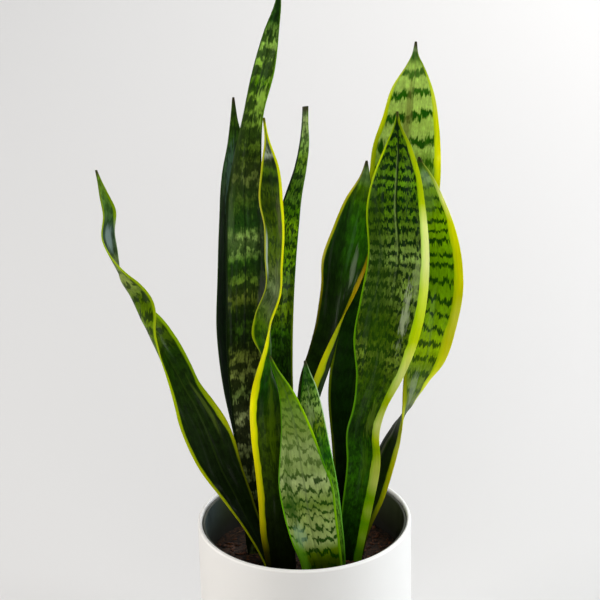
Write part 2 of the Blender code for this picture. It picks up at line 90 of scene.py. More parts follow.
# %% Sections: x, y, z, width, turn in degrees, hollow
LEAF_SECTIONS = {
    "leaf_far_left": (
        (-19, -10, 100, 19, 55, 3), (-27, -11, 124, 18, 58, 3), (-37, -13, 148, 19, 58, 4),
        (-50, -16, 179, 25, 33, 4), (-61, -18, 204, 32, 15, 4), (-67.5, -20, 226, 36, 10, 4),
        (-73, -21.5, 244, 35, 12, 4), (-78.3, -23, 259, 29.5, 18, 5), (-84.5, -25, 275, 24, 30, 5),
        (-88.5, -26.5, 289, 24, 43, 6), (-95.5, -29, 311, 27, 68, 8), (-103, -30, 330, 27, 92, 8),
        (-108, -32, 341, 25, 120, 7), (-113, -32, 351, 21, 142, 5), (-120, -33, 363, 18, 140, 4),
        (-124.5, -35, 373, 16, 108, 3), (-128.6, -36, 383, 16, 82, 3), (-132.6, -37, 398, 16, 60, 3),
        (-131, -39, 417, 12, 45, 2), (-134, -41, 431, 7, 30, 1), (-136.5, -41, 441, 3.5, 20, 0),
        (-138.5, -42, 450, 1.6, 10, 0),
    ),
    "leaf_back_left": (
        (-34, 22, 100, 20.5, 14, 3), (-36, 26, 148, 23, 19, 4), (-41, 33, 203, 23, 24, 4),
        (-47.5, 40, 243, 25, 28, 4), (-50.5, 48, 294, 26.5, 28, 4), (-49.5, 53, 325, 25, 28, 4),
        (-47.5, 61, 367, 24, 28, 3), (-46, 68, 405, 19.5, 28, 2), (-44.5, 72, 426, 12.5, 28, 1),
        (-45, 75, 442, 6, 28, 0), (-45, 78, 458, 1.6, 28, 0),
    ),
    "leaf_tall_left": (
        (-31, 5, 100, 23, 8, 4), (-34, 8, 163, 25.5, 11, 4), (-37, 11, 209, 27, 14, 4),
        (-40, 14, 246, 27, 16, 4), (-40, 17, 285, 30, 16, 4), (-38.5, 21, 326, 31.5, 16, 4),
        (-37.5, 23, 371, 31, 16, 4), (-37.5, 27, 402, 27, 16, 3), (-35, 29, 430, 21, 16, 3),
        (-30, 31, 461, 15.5, 16, 2), (-22, 33, 493, 17, 16, 2), (-15.5, 36, 522, 11.5, 16, 1),
        (-10, 38, 545, 4, 16, 0), (-9.5, 38, 556, 1.6, 16, 0),
    ),
    "leaf_twisted": (
        (-17, -25, 100, 22, -170, 3), (-18.5, -24, 128, 23, -168, 3), (-20.5, -23, 150, 25, -168, 3),
        (-21.5, -22, 176, 25, -166, 3), (-23, -21, 198, 25, -163, 3), (-26, -20, 231, 25, -158, 3.5),
        (-27.5, -19, 266, 25.5, -138, 5), (-30, -18, 290, 22, -97, 7), (-30.5, -17, 305, 21, -65, 8.5),
        (-27, -16, 321, 21, -58, 4), (-19, -15, 344, 20, -58, 3.5), (-18, -14, 366, 20, -50, 3),
        (-17, -13, 392, 20, -42, 3), (-18.5, -12, 410, 19, -25, 2.5), (-18.5, -11, 437, 13, -10, 1.5),
        (-20.5, -10, 460, 3, 0, 0), (-22, -10, 474, 1.6, 0, 0),
    ),
    "leaf_blunt": (
        (-8, 16, 100, 19, 7, 3), (-9, 19, 148, 20.5, 9, 3), (-12, 24, 197, 18.5, 12, 3),
        (-14.5, 28, 238, 17.5, 14, 3), (-14.5, 34, 282, 18.5, 14, 3), (-13, 38, 311, 18.5, 14, 3),
        (-11, 43, 343, 19.5, 14, 3), (-8, 45, 368, 18.5, 14, 3), (-3, 49, 390, 13.5, 14, 2),
        (3, 52, 412, 9.5, 14, 1), (6, 54, 429, 7.5, 14, 0.5), (7, 56, 446, 5, 14, 0),
        (7.5, 58, 457, 4.5, 14, 0),
    ),
    "leaf_small_front": (
        (12.5, -36, 100, 27, -4, -4), (12, -37, 130, 31, -5, -4), (8, -38, 150, 36, -5, -4),
        (4.5, -39, 172, 39, -6, -4), (1.5, -40, 200, 40, -7, -4), (-1, -42, 219, 33, -7, -3),
        (-4.5, -43, 249, 22, -8, -2), (-12, -45, 281, 10, -8, -1), (-19, -46, 298, 4, -8, 0),
        (-22, -46, 307, 1.6, -8, 0),
    ),
    "leaf_small_second": (
        (16, -26, 100, 26, 6, -3), (16, -26, 129, 28, 7, -3), (14, -26, 158, 28.5, 8, -3),
        (11, -26, 191, 28.5, 10, -3), (7.5, -26, 228, 23.5, 11, -3), (6.5, -25, 252, 17.5, 12, -2),
        (5.5, -25, 271, 11, 12, -1), (4, -25, 284, 5, 12, 0), (3, -24, 292, 1.6, 12, 0),
    ),
    "leaf_dark_centre": (
        (8, -12, 100, 21, 0, 3), (9.5, -11, 129, 23, 0, 3), (8, -8, 169, 24, -10, 3),
        (3, -4, 207, 24, -40, 5), (0, 1, 236, 25, -70, 9), (2.3, 4, 259, 27, -76, 13),
        (8.7, 7, 277, 27, -76, 13), (19.7, 12, 307, 29, -62, 10), (28.4, 15, 331, 32, -40, 5),
        (33.5, 17, 352, 35, -20, 3), (39.5, 19, 375, 30, -10, 3), (45, 22, 399, 20, -5, 2),
        (49.5, 23, 418, 6, 0, 0), (50.5, 24, 427, 1.6, 0, 0),
    ),
    "leaf_broad_right": (
        (30, -13, 100, 19, -5, 5), (33, -13, 125, 20, -6, 5), (39.5, -13, 165, 23, -7, 5),
        (44.5, -13, 200, 25, -8, 5), (45, -14, 231, 24.5, -9, 4), (49, -13, 245, 24.5, -10, 4),
        (57, -13, 272, 34.5, -10, 4), (62, -12, 302, 47.5, -10, 4), (67.5, -12, 332, 48.5, -10, 4),
        (71.5, -10, 365, 44.5, -10, 4), (70, -9, 407, 41.5, -10, 3), (71, -8, 428, 33.5, -10, 2),
        (72, -7, 449, 19, -10, 1), (71.5, -7, 468, 4, -10, 0), (71.5, -6, 475, 1.6, -10, 0),
    ),
    "leaf_tall_right": (
        (30, 24, 100, 20.5, -11, 4), (33, 24, 123, 21.5, -13, 4), (35, 27, 154, 23, -15, 4),
        (35.5, 30, 194, 28.5, -18, 4), (37, 33, 234, 36.5, -21, 4), (46, 38, 276, 43.5, -22, 4),
        (60.5, 44, 318, 50, -22, 4), (73.5, 53, 369, 55.5, -22, 4), (78.5, 57, 394, 55.5, -22, 4),
        (81, 62, 421, 52.5, -22, 4), (84, 65, 442, 43.5, -22, 3), (86, 69, 465, 31.5, -22, 2),
        (88, 72, 482, 13, -22, 1), (88, 73, 489, 5.5, -22, 0), (88.5, 74, 499, 1.6, -22, 0),
    ),
    "leaf_far_right": (
        (34, 3, 100, 18, 142, 3), (41, 4, 135, 18, 140, 3), (53, 7, 166, 21, 136, 3),
        (61.3, 10, 191, 23, 124, 3), (65.9, 12, 203, 24, 114, 2), (68.9, 12.4, 210, 24, 106, 1),
        (71.3, 12.5, 216, 24, 98, 1), (74.5, 12.4, 222, 24, 87, 2), (77.6, 12, 228, 24.5, 74, 2),
        (80.2, 13.1, 236, 25.5, 62, 1.5), (83, 14, 243, 27, 51, 1), (85.8, 15.2, 251, 28.5, 40, 1),
        (90.4, 15.8, 263, 31, 22, 2), (97, 19, 296, 36, -1, 4), (101.5, 23, 335, 39, -18, 4),
        (100, 27, 364, 35, -18, 3), (96, 30, 393, 23, -18, 2), (91.5, 33, 414, 10.5, -18, 1),
        (89.5, 34, 420, 5.5, -18, 0), (88.5, 34, 425, 1.6, -18, 0),
    ),
}
print("leaves:", len(LEAF_SECTIONS))

# %% [markdown]
# ## From sections to a smooth blade
#
# A straight line from row to row would show as kinks, so each column of numbers is carried on a smooth cubic
# curve that passes through every row with the slope of its neighbours. The blade's skin is then a grid: one
# direction runs from foot to tip, the other once round the blade's lens-shaped section. Rounding the two
# sharp sides of the lens catches a thin line of light along each edge, as on the real leaf.

# %% Curves through the sections
def through_rows(rows, share):
    """Numbers at each share of the way along smooth curves through the rows.

    Between two rows a length h apart, with t from 0 to 1, the value is
    (2t^3 - 3t^2 + 1) a + (t^3 - 2t^2 + t) h slope_a + (3t^2 - 2t^3) b + (t^3 - t^2) h slope_b.
    """
    rows = np.array(rows, dtype=float)
    steps = np.linalg.norm(np.diff(rows[:, :3], axis=0), axis=1)
    place = np.concatenate(([0.0], np.cumsum(steps)))
    slope = np.gradient(rows, place, axis=0)
    wanted = place[-1] * share
    cell = np.clip(np.searchsorted(place, wanted, side="right") - 1, 0, len(place) - 2)
    h = (place[cell + 1] - place[cell])[:, None]
    t = (wanted - place[cell])[:, None] / h
    first = (2 * t**3 - 3 * t**2 + 1) * rows[cell] + (t**3 - 2 * t**2 + t) * h * slope[cell]
    second = (3 * t**2 - 2 * t**3) * rows[cell + 1] + (t**3 - t**2) * h * slope[cell + 1]
    return first + second


def soft_waves(share, seed, slowest=2.0, waves=6):
    """A smooth wandering line between about -1 and 1: a sum of sines, each faster and weaker."""
    rng = np.random.default_rng(seed)
    speed = slowest * np.arange(1, waves + 1) * rng.uniform(0.8, 1.2, waves)
    start = rng.uniform(0.0, 2.0 * math.pi, waves)
    size = 1.0 / np.arange(1, waves + 1)
    waves_now = np.sin(2.0 * math.pi * np.outer(share, speed) + start) * size
    return waves_now.sum(axis=1) / size.sum()


# %% The skin of one blade
RINGS = 260
AROUND = 60
EDGE_THICKNESS = 0.8
RIB_SHARE_OF_WIDTH = 0.12
EDGE_ROUNDING = 22
SPACING_TOWARDS_TIP = 1.3
SWELL_REACH = 1.05
SWELL_FULLNESS = 0.6
RIGHT_EDGE_SEED = 50
CREASE_DEPTH = 0.35
CREASE_HALF_WIDTH = 1.3
FULL_CREASE_ON_WIDTH = 12.0


def blade_skin(rows, thick_foot, thick_tip, ripple, seed):
    """Rings of points round a blade, with what the skin needs to know at each point.

    Round the section an angle q runs from 0 to 2 pi. The place across is -cos q, so points crowd towards the
    edges, and the half thickness is (edge + bulge (1 - across^2)) / 2, rounded off near the edges by
    sqrt(1 - |across|^n). Its sign is that of sin q: one half turn for the face, one for the back. The edges
    ripple, most in the middle of the length, and a shallow crease exp(-(distance / half width)^2) runs down
    the middle of the face.
    """
    share = 1.0 - (1.0 - np.linspace(0.0, 1.0, RINGS)) ** SPACING_TOWARDS_TIP
    now = through_rows(rows, share)
    middle, width, turn, hollow = now[:, :3], now[:, 3], np.radians(now[:, 4]), now[:, 5]
    along = np.gradient(middle, axis=0)
    along /= np.linalg.norm(along, axis=1)[:, None]
    side = np.stack([np.cos(turn), np.sin(turn), np.zeros_like(turn)], axis=1)
    face = np.cross(side, along)
    face /= np.linalg.norm(face, axis=1)[:, None]

    angle = np.linspace(0.0, 2.0 * math.pi, AROUND, endpoint=False)[None, :]
    across = -np.cos(angle)
    half = (width / 2.0)[:, None]
    thickest = EDGE_THICKNESS + RIB_SHARE_OF_WIDTH * width
    thick = np.minimum(thick_foot + (thick_tip - thick_foot) * share, thickest)
    rounding = np.sqrt(np.clip(1.0 - np.abs(across) ** EDGE_ROUNDING, 0.0, 1.0))
    offset = (EDGE_THICKNESS + (thick[:, None] - EDGE_THICKNESS) * (1.0 - across**2)) / 2.0 * rounding
    offset = offset * np.sign(np.sin(angle) + 1e-12)
    lean = 2.0 * hollow[:, None] * across / half
    length = np.sqrt(1.0 + lean**2)

    swell = np.sin(math.pi * np.clip(share * SWELL_REACH, 0.0, 1.0)) ** SWELL_FULLNESS
    left = (soft_waves(share, seed) * swell * ripple)[:, None]
    right = (soft_waves(share, seed + RIGHT_EDGE_SEED) * swell * ripple)[:, None]
    wave = np.where(across < 0.0, left, right) * np.abs(across) ** 3
    fade = np.clip(width / FULL_CREASE_ON_WIDTH, 0.0, 1.0)[:, None]
    crease = -CREASE_DEPTH * np.exp(-((across * half / CREASE_HALF_WIDTH) ** 2)) * fade
    sideways = half * across - offset * lean / length
    outwards = hollow[:, None] * (across**2 - 1.0) + offset / length + wave + crease

    points = middle[:, None, :] + sideways[:, :, None] * side[:, None, :]
    points = points + outwards[:, :, None] * face[:, None, :]
    run = np.concatenate(([0.0], np.cumsum(np.linalg.norm(np.diff(middle, axis=0), axis=1))))
    skew = (side * along).sum(axis=1)[:, None]
    return {
        "points": points * MM,
        "across": np.broadcast_to(across, sideways.shape),
        "along": run[:, None] + half * across * skew,
        "half": np.broadcast_to(half * np.sqrt(1.0 - skew**2), sideways.shape),
        "centre_height": middle[:, 2],
        "centre_run": run,
    }


print("one blade:", RINGS * AROUND, "points")

# %% [markdown]
# ## Putting points into a mesh
#
# Every new surface here is a grid of rings that closes on itself, so one function can turn any of them into a
# mesh: it joins neighbouring rings with four-sided faces and closes both ends with a small fan. A closed
# surface has a positive volume when its faces point outwards, so the sign of the volume is used to check it.

# %% Grid helpers
def ring_faces(rings, around):
    """Corners of each face of a tube: (i, j), (i, j + 1), (i + 1, j + 1), (i + 1, j), j counted round."""
    i, j = np.meshgrid(np.arange(rings - 1), np.arange(around), indexing="ij")
    here = i * around + j
    beside = i * around + (j + 1) % around
    return np.stack([here, beside, beside + around, here + around], axis=-1).reshape(-1, 4)


def fan_faces(first, around, centre, flip):
    """Triangles from one ring to a centre point."""
    j = np.arange(around)
    fan = np.stack([first + (j + 1) % around, first + j, np.full(around, centre)], axis=1)
    return fan[:, ::-1] if flip else fan


def signed_volume(points, faces):
    """Sum over triangles (a, b, c) of a . (b x c) / 6: positive when the faces point outwards."""
    a, b, c = points[faces[:, 0]], points[faces[:, 1]], points[faces[:, 2]]
    return float((a * np.cross(b, c)).sum() / 6.0)


def closed_rings(rings):
    """Points, four-sided faces and triangles of a grid (ring, around, xyz) closed at both ends."""
    count, around = rings.shape[:2]
    points = np.concatenate([rings.reshape(-1, 3), rings[:1].mean(axis=1), rings[-1:].mean(axis=1)])
    quads = ring_faces(count, around)
    start = fan_faces(0, around, count * around, flip=False)
    end = fan_faces((count - 1) * around, around, count * around + 1, flip=True)
    tris = np.concatenate([start, end])
    halves = np.concatenate([quads[:, [0, 1, 2]], quads[:, [0, 2, 3]], tris])
    if signed_volume(points, halves) < 0.0:
        quads, tris = quads[:, ::-1], tris[:, ::-1]
    return points, quads, tris


# %% Mesh pieces
def new_piece(name, points, faces, material):
    """A smooth mesh object at the origin that rides with the plant."""
    mesh = bpy.data.meshes.new(name)
    mesh.from_pydata(points.tolist(), [], faces)
    mesh.update()
    mesh.shade_smooth()
    mesh.materials.append(material)
    piece = bpy.data.objects.new(name, mesh)
    bpy.context.scene.collection.objects.link(piece)
    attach(piece, "root")
    print(f"{name}: {len(points)} points, {len(faces)} faces")
    return piece


def ring_piece(name, rings, material):
    """A piece whose surface is one grid of rings."""
    points, quads, tris = closed_rings(rings)
    return new_piece(name, points, quads.tolist() + tris.tolist(), material)


def put_values(piece, name, kind, values):
    """Stores one number or one vector for each point, for the material to read."""
    layer = piece.data.attributes.new(name, kind, "POINT")
    field = "vector" if kind == "FLOAT_VECTOR" else "value"
    layer.data.foreach_set(field, np.ascontiguousarray(values, dtype=np.float32).ravel())


# %% [markdown]
# ## Small tools for materials
#
# A material is a net of nodes. Writing each node out takes many lines, so short helpers do it: one adds a
# node and fills its sockets, and the others do arithmetic, blend two colours, make a soft step, set up a
# colour ramp, and make or place a group. Colours are written as the numbers seen on a screen, from 0 to 255,
# and are turned into the light values that the shader wants.

# %% Node helpers
def paint(red, green, blue):
    """Screen colour to light values.

    With v = number / 255, the light is v / 12.92 up to v = 0.04045 and ((v + 0.055) / 1.055)^2.4 above it.
    """
    screen = np.array([red, green, blue]) / 255.0
    light = np.where(screen <= 0.04045, screen / 12.92, ((screen + 0.055) / 1.055) ** 2.4)
    return (*light.tolist(), 1.0)


def fill(tree, node, sockets):
    """Gives each socket a value, or a link when its value is another node's output."""
    for key, value in sockets.items():
        if isinstance(value, bpy.types.NodeSocket):
            tree.links.new(value, node.inputs[key])
        else:
            node.inputs[key].default_value = value
    return node


def add(tree, kind, sockets=None, **settings):
    """Adds a node with its settings and fills its sockets."""
    node = tree.nodes.new(kind)
    for key, value in settings.items():
        setattr(node, key, value)
    return fill(tree, node, sockets or {})


def maths(tree, operation, first, second=0.0, third=0.0):
    """One arithmetic step."""
    return add(tree, "ShaderNodeMath", {0: first, 1: second, 2: third}, operation=operation).outputs[0]


def blend(tree, amount, first, second, kind="MIX"):
    """First colour where amount is 0, second where it is 1. Inputs 6 and 7 and output 2 are the colours."""
    node = add(tree, "ShaderNodeMix", {0: amount, 6: first, 7: second}, data_type="RGBA", blend_type=kind)
    return node.outputs[2]


def step_up(tree, value, low, high):
    """0 below low, 1 above high, and a soft S between; with low above high it steps down."""
    sockets = {0: value, 1: low, 2: high, 3: 0.0, 4: 1.0}
    return add(tree, "ShaderNodeMapRange", sockets, interpolation_type="SMOOTHSTEP").outputs[0]


def colour_ramp(tree, value, stops):
    """Colours at shares from 0 to 1, and their fourth number, which the leaves use as a strength."""
    node = add(tree, "ShaderNodeValToRGB", {0: value})
    elements = node.color_ramp.elements
    elements[0].position, elements[0].color = stops[0]
    elements[1].position, elements[1].color = stops[-1]
    for position, colour in stops[1:-1]:
        elements.new(position).color = colour
    return node.outputs[0], node.outputs[1]


# %% Group helpers
def new_group(name, inputs, outputs):
    """A node group with named number sockets: its net, what it is given, and what it puts out."""
    tree = bpy.data.node_groups.new(name, "ShaderNodeTree")
    for label, value in inputs.items():
        socket = tree.interface.new_socket(name=label, in_out="INPUT", socket_type="NodeSocketFloat")
        socket.default_value = value
    for label in outputs:
        tree.interface.new_socket(name=label, in_out="OUTPUT", socket_type="NodeSocketFloat")
    return tree, tree.nodes.new("NodeGroupInput").outputs, tree.nodes.new("NodeGroupOutput").inputs


def use_group(tree, group, sockets):
    """Places a group in a material or in another group."""
    return add(tree, "ShaderNodeGroup", sockets, node_tree=group)


# %% Material helpers
def new_material(name):
    """A material with nodes, its net and its shader."""
    material = bpy.data.materials.new(name)
    material.use_nodes = True
    return material, material.node_tree, material.node_tree.nodes["Principled BSDF"]


def object_place(tree):
    """The point's place on the piece, in metres."""
    return add(tree, "ShaderNodeTexCoord").outputs["Object"]


def noise(tree, where, scale, detail, roughness=0.5):
    """Smooth noise from 0 to 1; a larger scale is finer."""
    sockets = {"Vector": where, "Scale": scale, "Detail": detail, "Roughness": roughness}
    return add(tree, "ShaderNodeTexNoise", sockets).outputs[0]


def dress(tree, shader, colour, gloss, relief, strength, depth):
    """Gives a shader its colour, its roughness and a bump of one depth made from a height."""
    bump = add(tree, "ShaderNodeBump", {"Height": relief, "Strength": strength, "Distance": depth})
    fill(tree, shader, {"Base Color": colour, "Roughness": gloss, "Normal": bump.outputs[0]})


print("half grey, 128 on a screen, is", round(paint(128, 128, 128)[0], 3), "as light")

# %% [markdown]
# ## Threads
#
# The skin of the leaf is drawn out lengthwise: its colour runs in thin threads that are much longer than they
# are wide. A stretched noise gives this. Its place across is divided by the width of one thread and its place
# along by the thread's length, both in millimetres, so the same group serves wide and fine threads alike.

# %% Group: threads
threads, given, result = new_group(
    "threads", {"Across mm": 0.0, "Along mm": 0.0, "Width": 1.0, "Length": 10.0, "Seed": 0.0}, ["Value"]
)
wide = maths(threads, "DIVIDE", given["Across mm"], given["Width"])
long = maths(threads, "DIVIDE", given["Along mm"], given["Length"])
spot = add(threads, "ShaderNodeCombineXYZ", {0: wide, 1: long, 2: given["Seed"]})
cloud = noise(threads, spot.outputs[0], 1.0, 2.0, 0.55)
spread = add(threads, "ShaderNodeMapRange", {0: cloud, 1: 0.28, 2: 0.72, 3: 0.0, 4: 1.0})
threads.links.new(spread.outputs[0], result["Value"])
print("group made:", threads.name)


def swing(tree, across, along, size, seed, amount):
    """Threads of one width and length, moved to lie evenly about zero: (threads - 0.5) x amount."""
    sockets = {"Across mm": across, "Along mm": along, "Width": size[0], "Length": size[1], "Seed": seed}
    lifted = use_group(tree, threads, sockets).outputs[0]
    return maths(tree, "MULTIPLY", maths(tree, "SUBTRACT", lifted, 0.5), amount)


# %% [markdown]
# ## Dark bands with torn edges
#
# Across the leaf run dark green bands. Seen close, a band is not a stripe: every thread of the leaf starts
# and ends its dark stretch a little higher or lower than its neighbour, so the edges are torn into small
# teeth. Each leaf carries a count of its bands from the foot up, which is a whole number in the middle of a
# band. The cosine of that count, pushed up and down by two widths of threads, gives the bands and their
# teeth, and a third noise breaks the bands into flecks.

# %% Group: torn bands
COARSE_WIDTH = 3.6
COARSE_LENGTH = 22.0
FINE_LENGTH = 9.0

torn_bands, given, result = new_group(
    "torn_bands",
    {
        "Band": 0.0, "Across mm": 0.0, "Along mm": 0.0, "Zigzag": 0.3, "Teeth": 0.3, "Breaks": 0.5,
        "Break width": 4.0, "Break length": 6.0, "Cover": 0.4, "Softness": 0.15, "Thread": 1.0, "Seed": 0.0,
    },
    ["Mask"],
)
across, along, thread, seed = given["Across mm"], given["Along mm"], given["Thread"], given["Seed"]
coarse = [maths(torn_bands, "MULTIPLY", thread, factor) for factor in (COARSE_WIDTH, COARSE_LENGTH)]
fine = [thread, maths(torn_bands, "MULTIPLY", thread, FINE_LENGTH)]
gaps = [given["Break width"], given["Break length"]]
zigzag = swing(torn_bands, across, along, coarse, seed, given["Zigzag"])
teeth = swing(torn_bands, across, along, fine, maths(torn_bands, "ADD", seed, 7.3), given["Teeth"])
breaks = swing(torn_bands, across, along, gaps, maths(torn_bands, "ADD", seed, 13.9), given["Breaks"])
count = maths(torn_bands, "ADD", given["Band"], maths(torn_bands, "ADD", zigzag, teeth))
wave = maths(torn_bands, "COSINE", maths(torn_bands, "MULTIPLY", count, 2.0 * math.pi))
level = maths(torn_bands, "ADD", wave, maths(torn_bands, "MULTIPLY", breaks, 2.0))
limit = maths(torn_bands, "COSINE", maths(torn_bands, "MULTIPLY", given["Cover"], math.pi))
low = maths(torn_bands, "SUBTRACT", limit, given["Softness"])
high = maths(torn_bands, "ADD", limit, given["Softness"])
torn_bands.links.new(step_up(torn_bands, level, low, high), result["Mask"])
print("group made:", torn_bands.name)

# %% [markdown]
# ## Yellow edges
#
# This kind has a yellow border down both sides of each leaf. Its outer side is the leaf's own edge, but its
# inner side wavers, because it follows whichever threads lack the green. So the border is a distance from
# the edge in millimetres, compared with a width that wanders slowly. The group also tells how near the outer
# side a point lies, since the yellow is clearest at the very edge and greener where it meets the body.

# %% Group: border
WANDER_SIZE = (1.0, 26.0)
NIBBLE_SIZE = (0.8, 16.0)

border, given, result = new_group(
    "border",
    {"From edge mm": 0.0, "Along mm": 0.0, "Width": 3.0, "Waver": 0.3, "Softness": 0.4, "Seed": 0.0},
    ["Mask", "Outer"],
)
from_edge, along, width, soft = given["From edge mm"], given["Along mm"], given["Width"], given["Softness"]
wander = swing(border, 0.0, along, WANDER_SIZE, given["Seed"], 2.0)
nibble = swing(border, from_edge, along, NIBBLE_SIZE, maths(border, "ADD", given["Seed"], 3.0), 1.0)
shift = maths(border, "MULTIPLY", maths(border, "ADD", wander, nibble), given["Waver"])
wide = maths(border, "MULTIPLY_ADD", shift, width, width)
past = maths(border, "SUBTRACT", from_edge, wide)
border.links.new(step_up(border, past, soft, maths(border, "MULTIPLY", soft, -1.0)), result["Mask"])
inward = maths(border, "DIVIDE", from_edge, maths(border, "MAXIMUM", wide, 0.2))
border.links.new(step_up(border, inward, 1.1, 0.35), result["Outer"])
print("group made:", border.name)

# %% [markdown]
# ## Soft patches
#
# The leaves carry painted light and shade in patches: painted shade where a side or a fold turns from the
# light, painted sheen where a tip, a bulge or an edge catches it, and here and there a change of tone. Each
# such place is an oval on the leaf with a ragged rim, given by its middle and its reach along and across.

# %% Group: patch
RAG_SIZE = (1.4, 12.0)

patch, given, result = new_group(
    "patch",
    {
        "Across": 0.0, "Across mm": 0.0, "Along mm": 0.0, "Middle across": 0.0, "Middle along": 0.0,
        "Reach across": 0.5, "Reach along": 10.0, "Ragged": 0.3, "Seed": 0.0,
    },
    ["Mask"],
)
x = maths(patch, "SUBTRACT", given["Across"], given["Middle across"])
x = maths(patch, "DIVIDE", x, given["Reach across"])
y = maths(patch, "SUBTRACT", given["Along mm"], given["Middle along"])
y = maths(patch, "DIVIDE", y, given["Reach along"])
far = maths(patch, "ADD", maths(patch, "MULTIPLY", x, x), maths(patch, "MULTIPLY", y, y))
rag = swing(patch, given["Across mm"], given["Along mm"], RAG_SIZE, given["Seed"], given["Ragged"])
far = maths(patch, "ADD", maths(patch, "SQRT", far), rag)
patch.links.new(step_up(patch, far, 1.15, 0.35), result["Mask"])
print("group made:", patch.name)
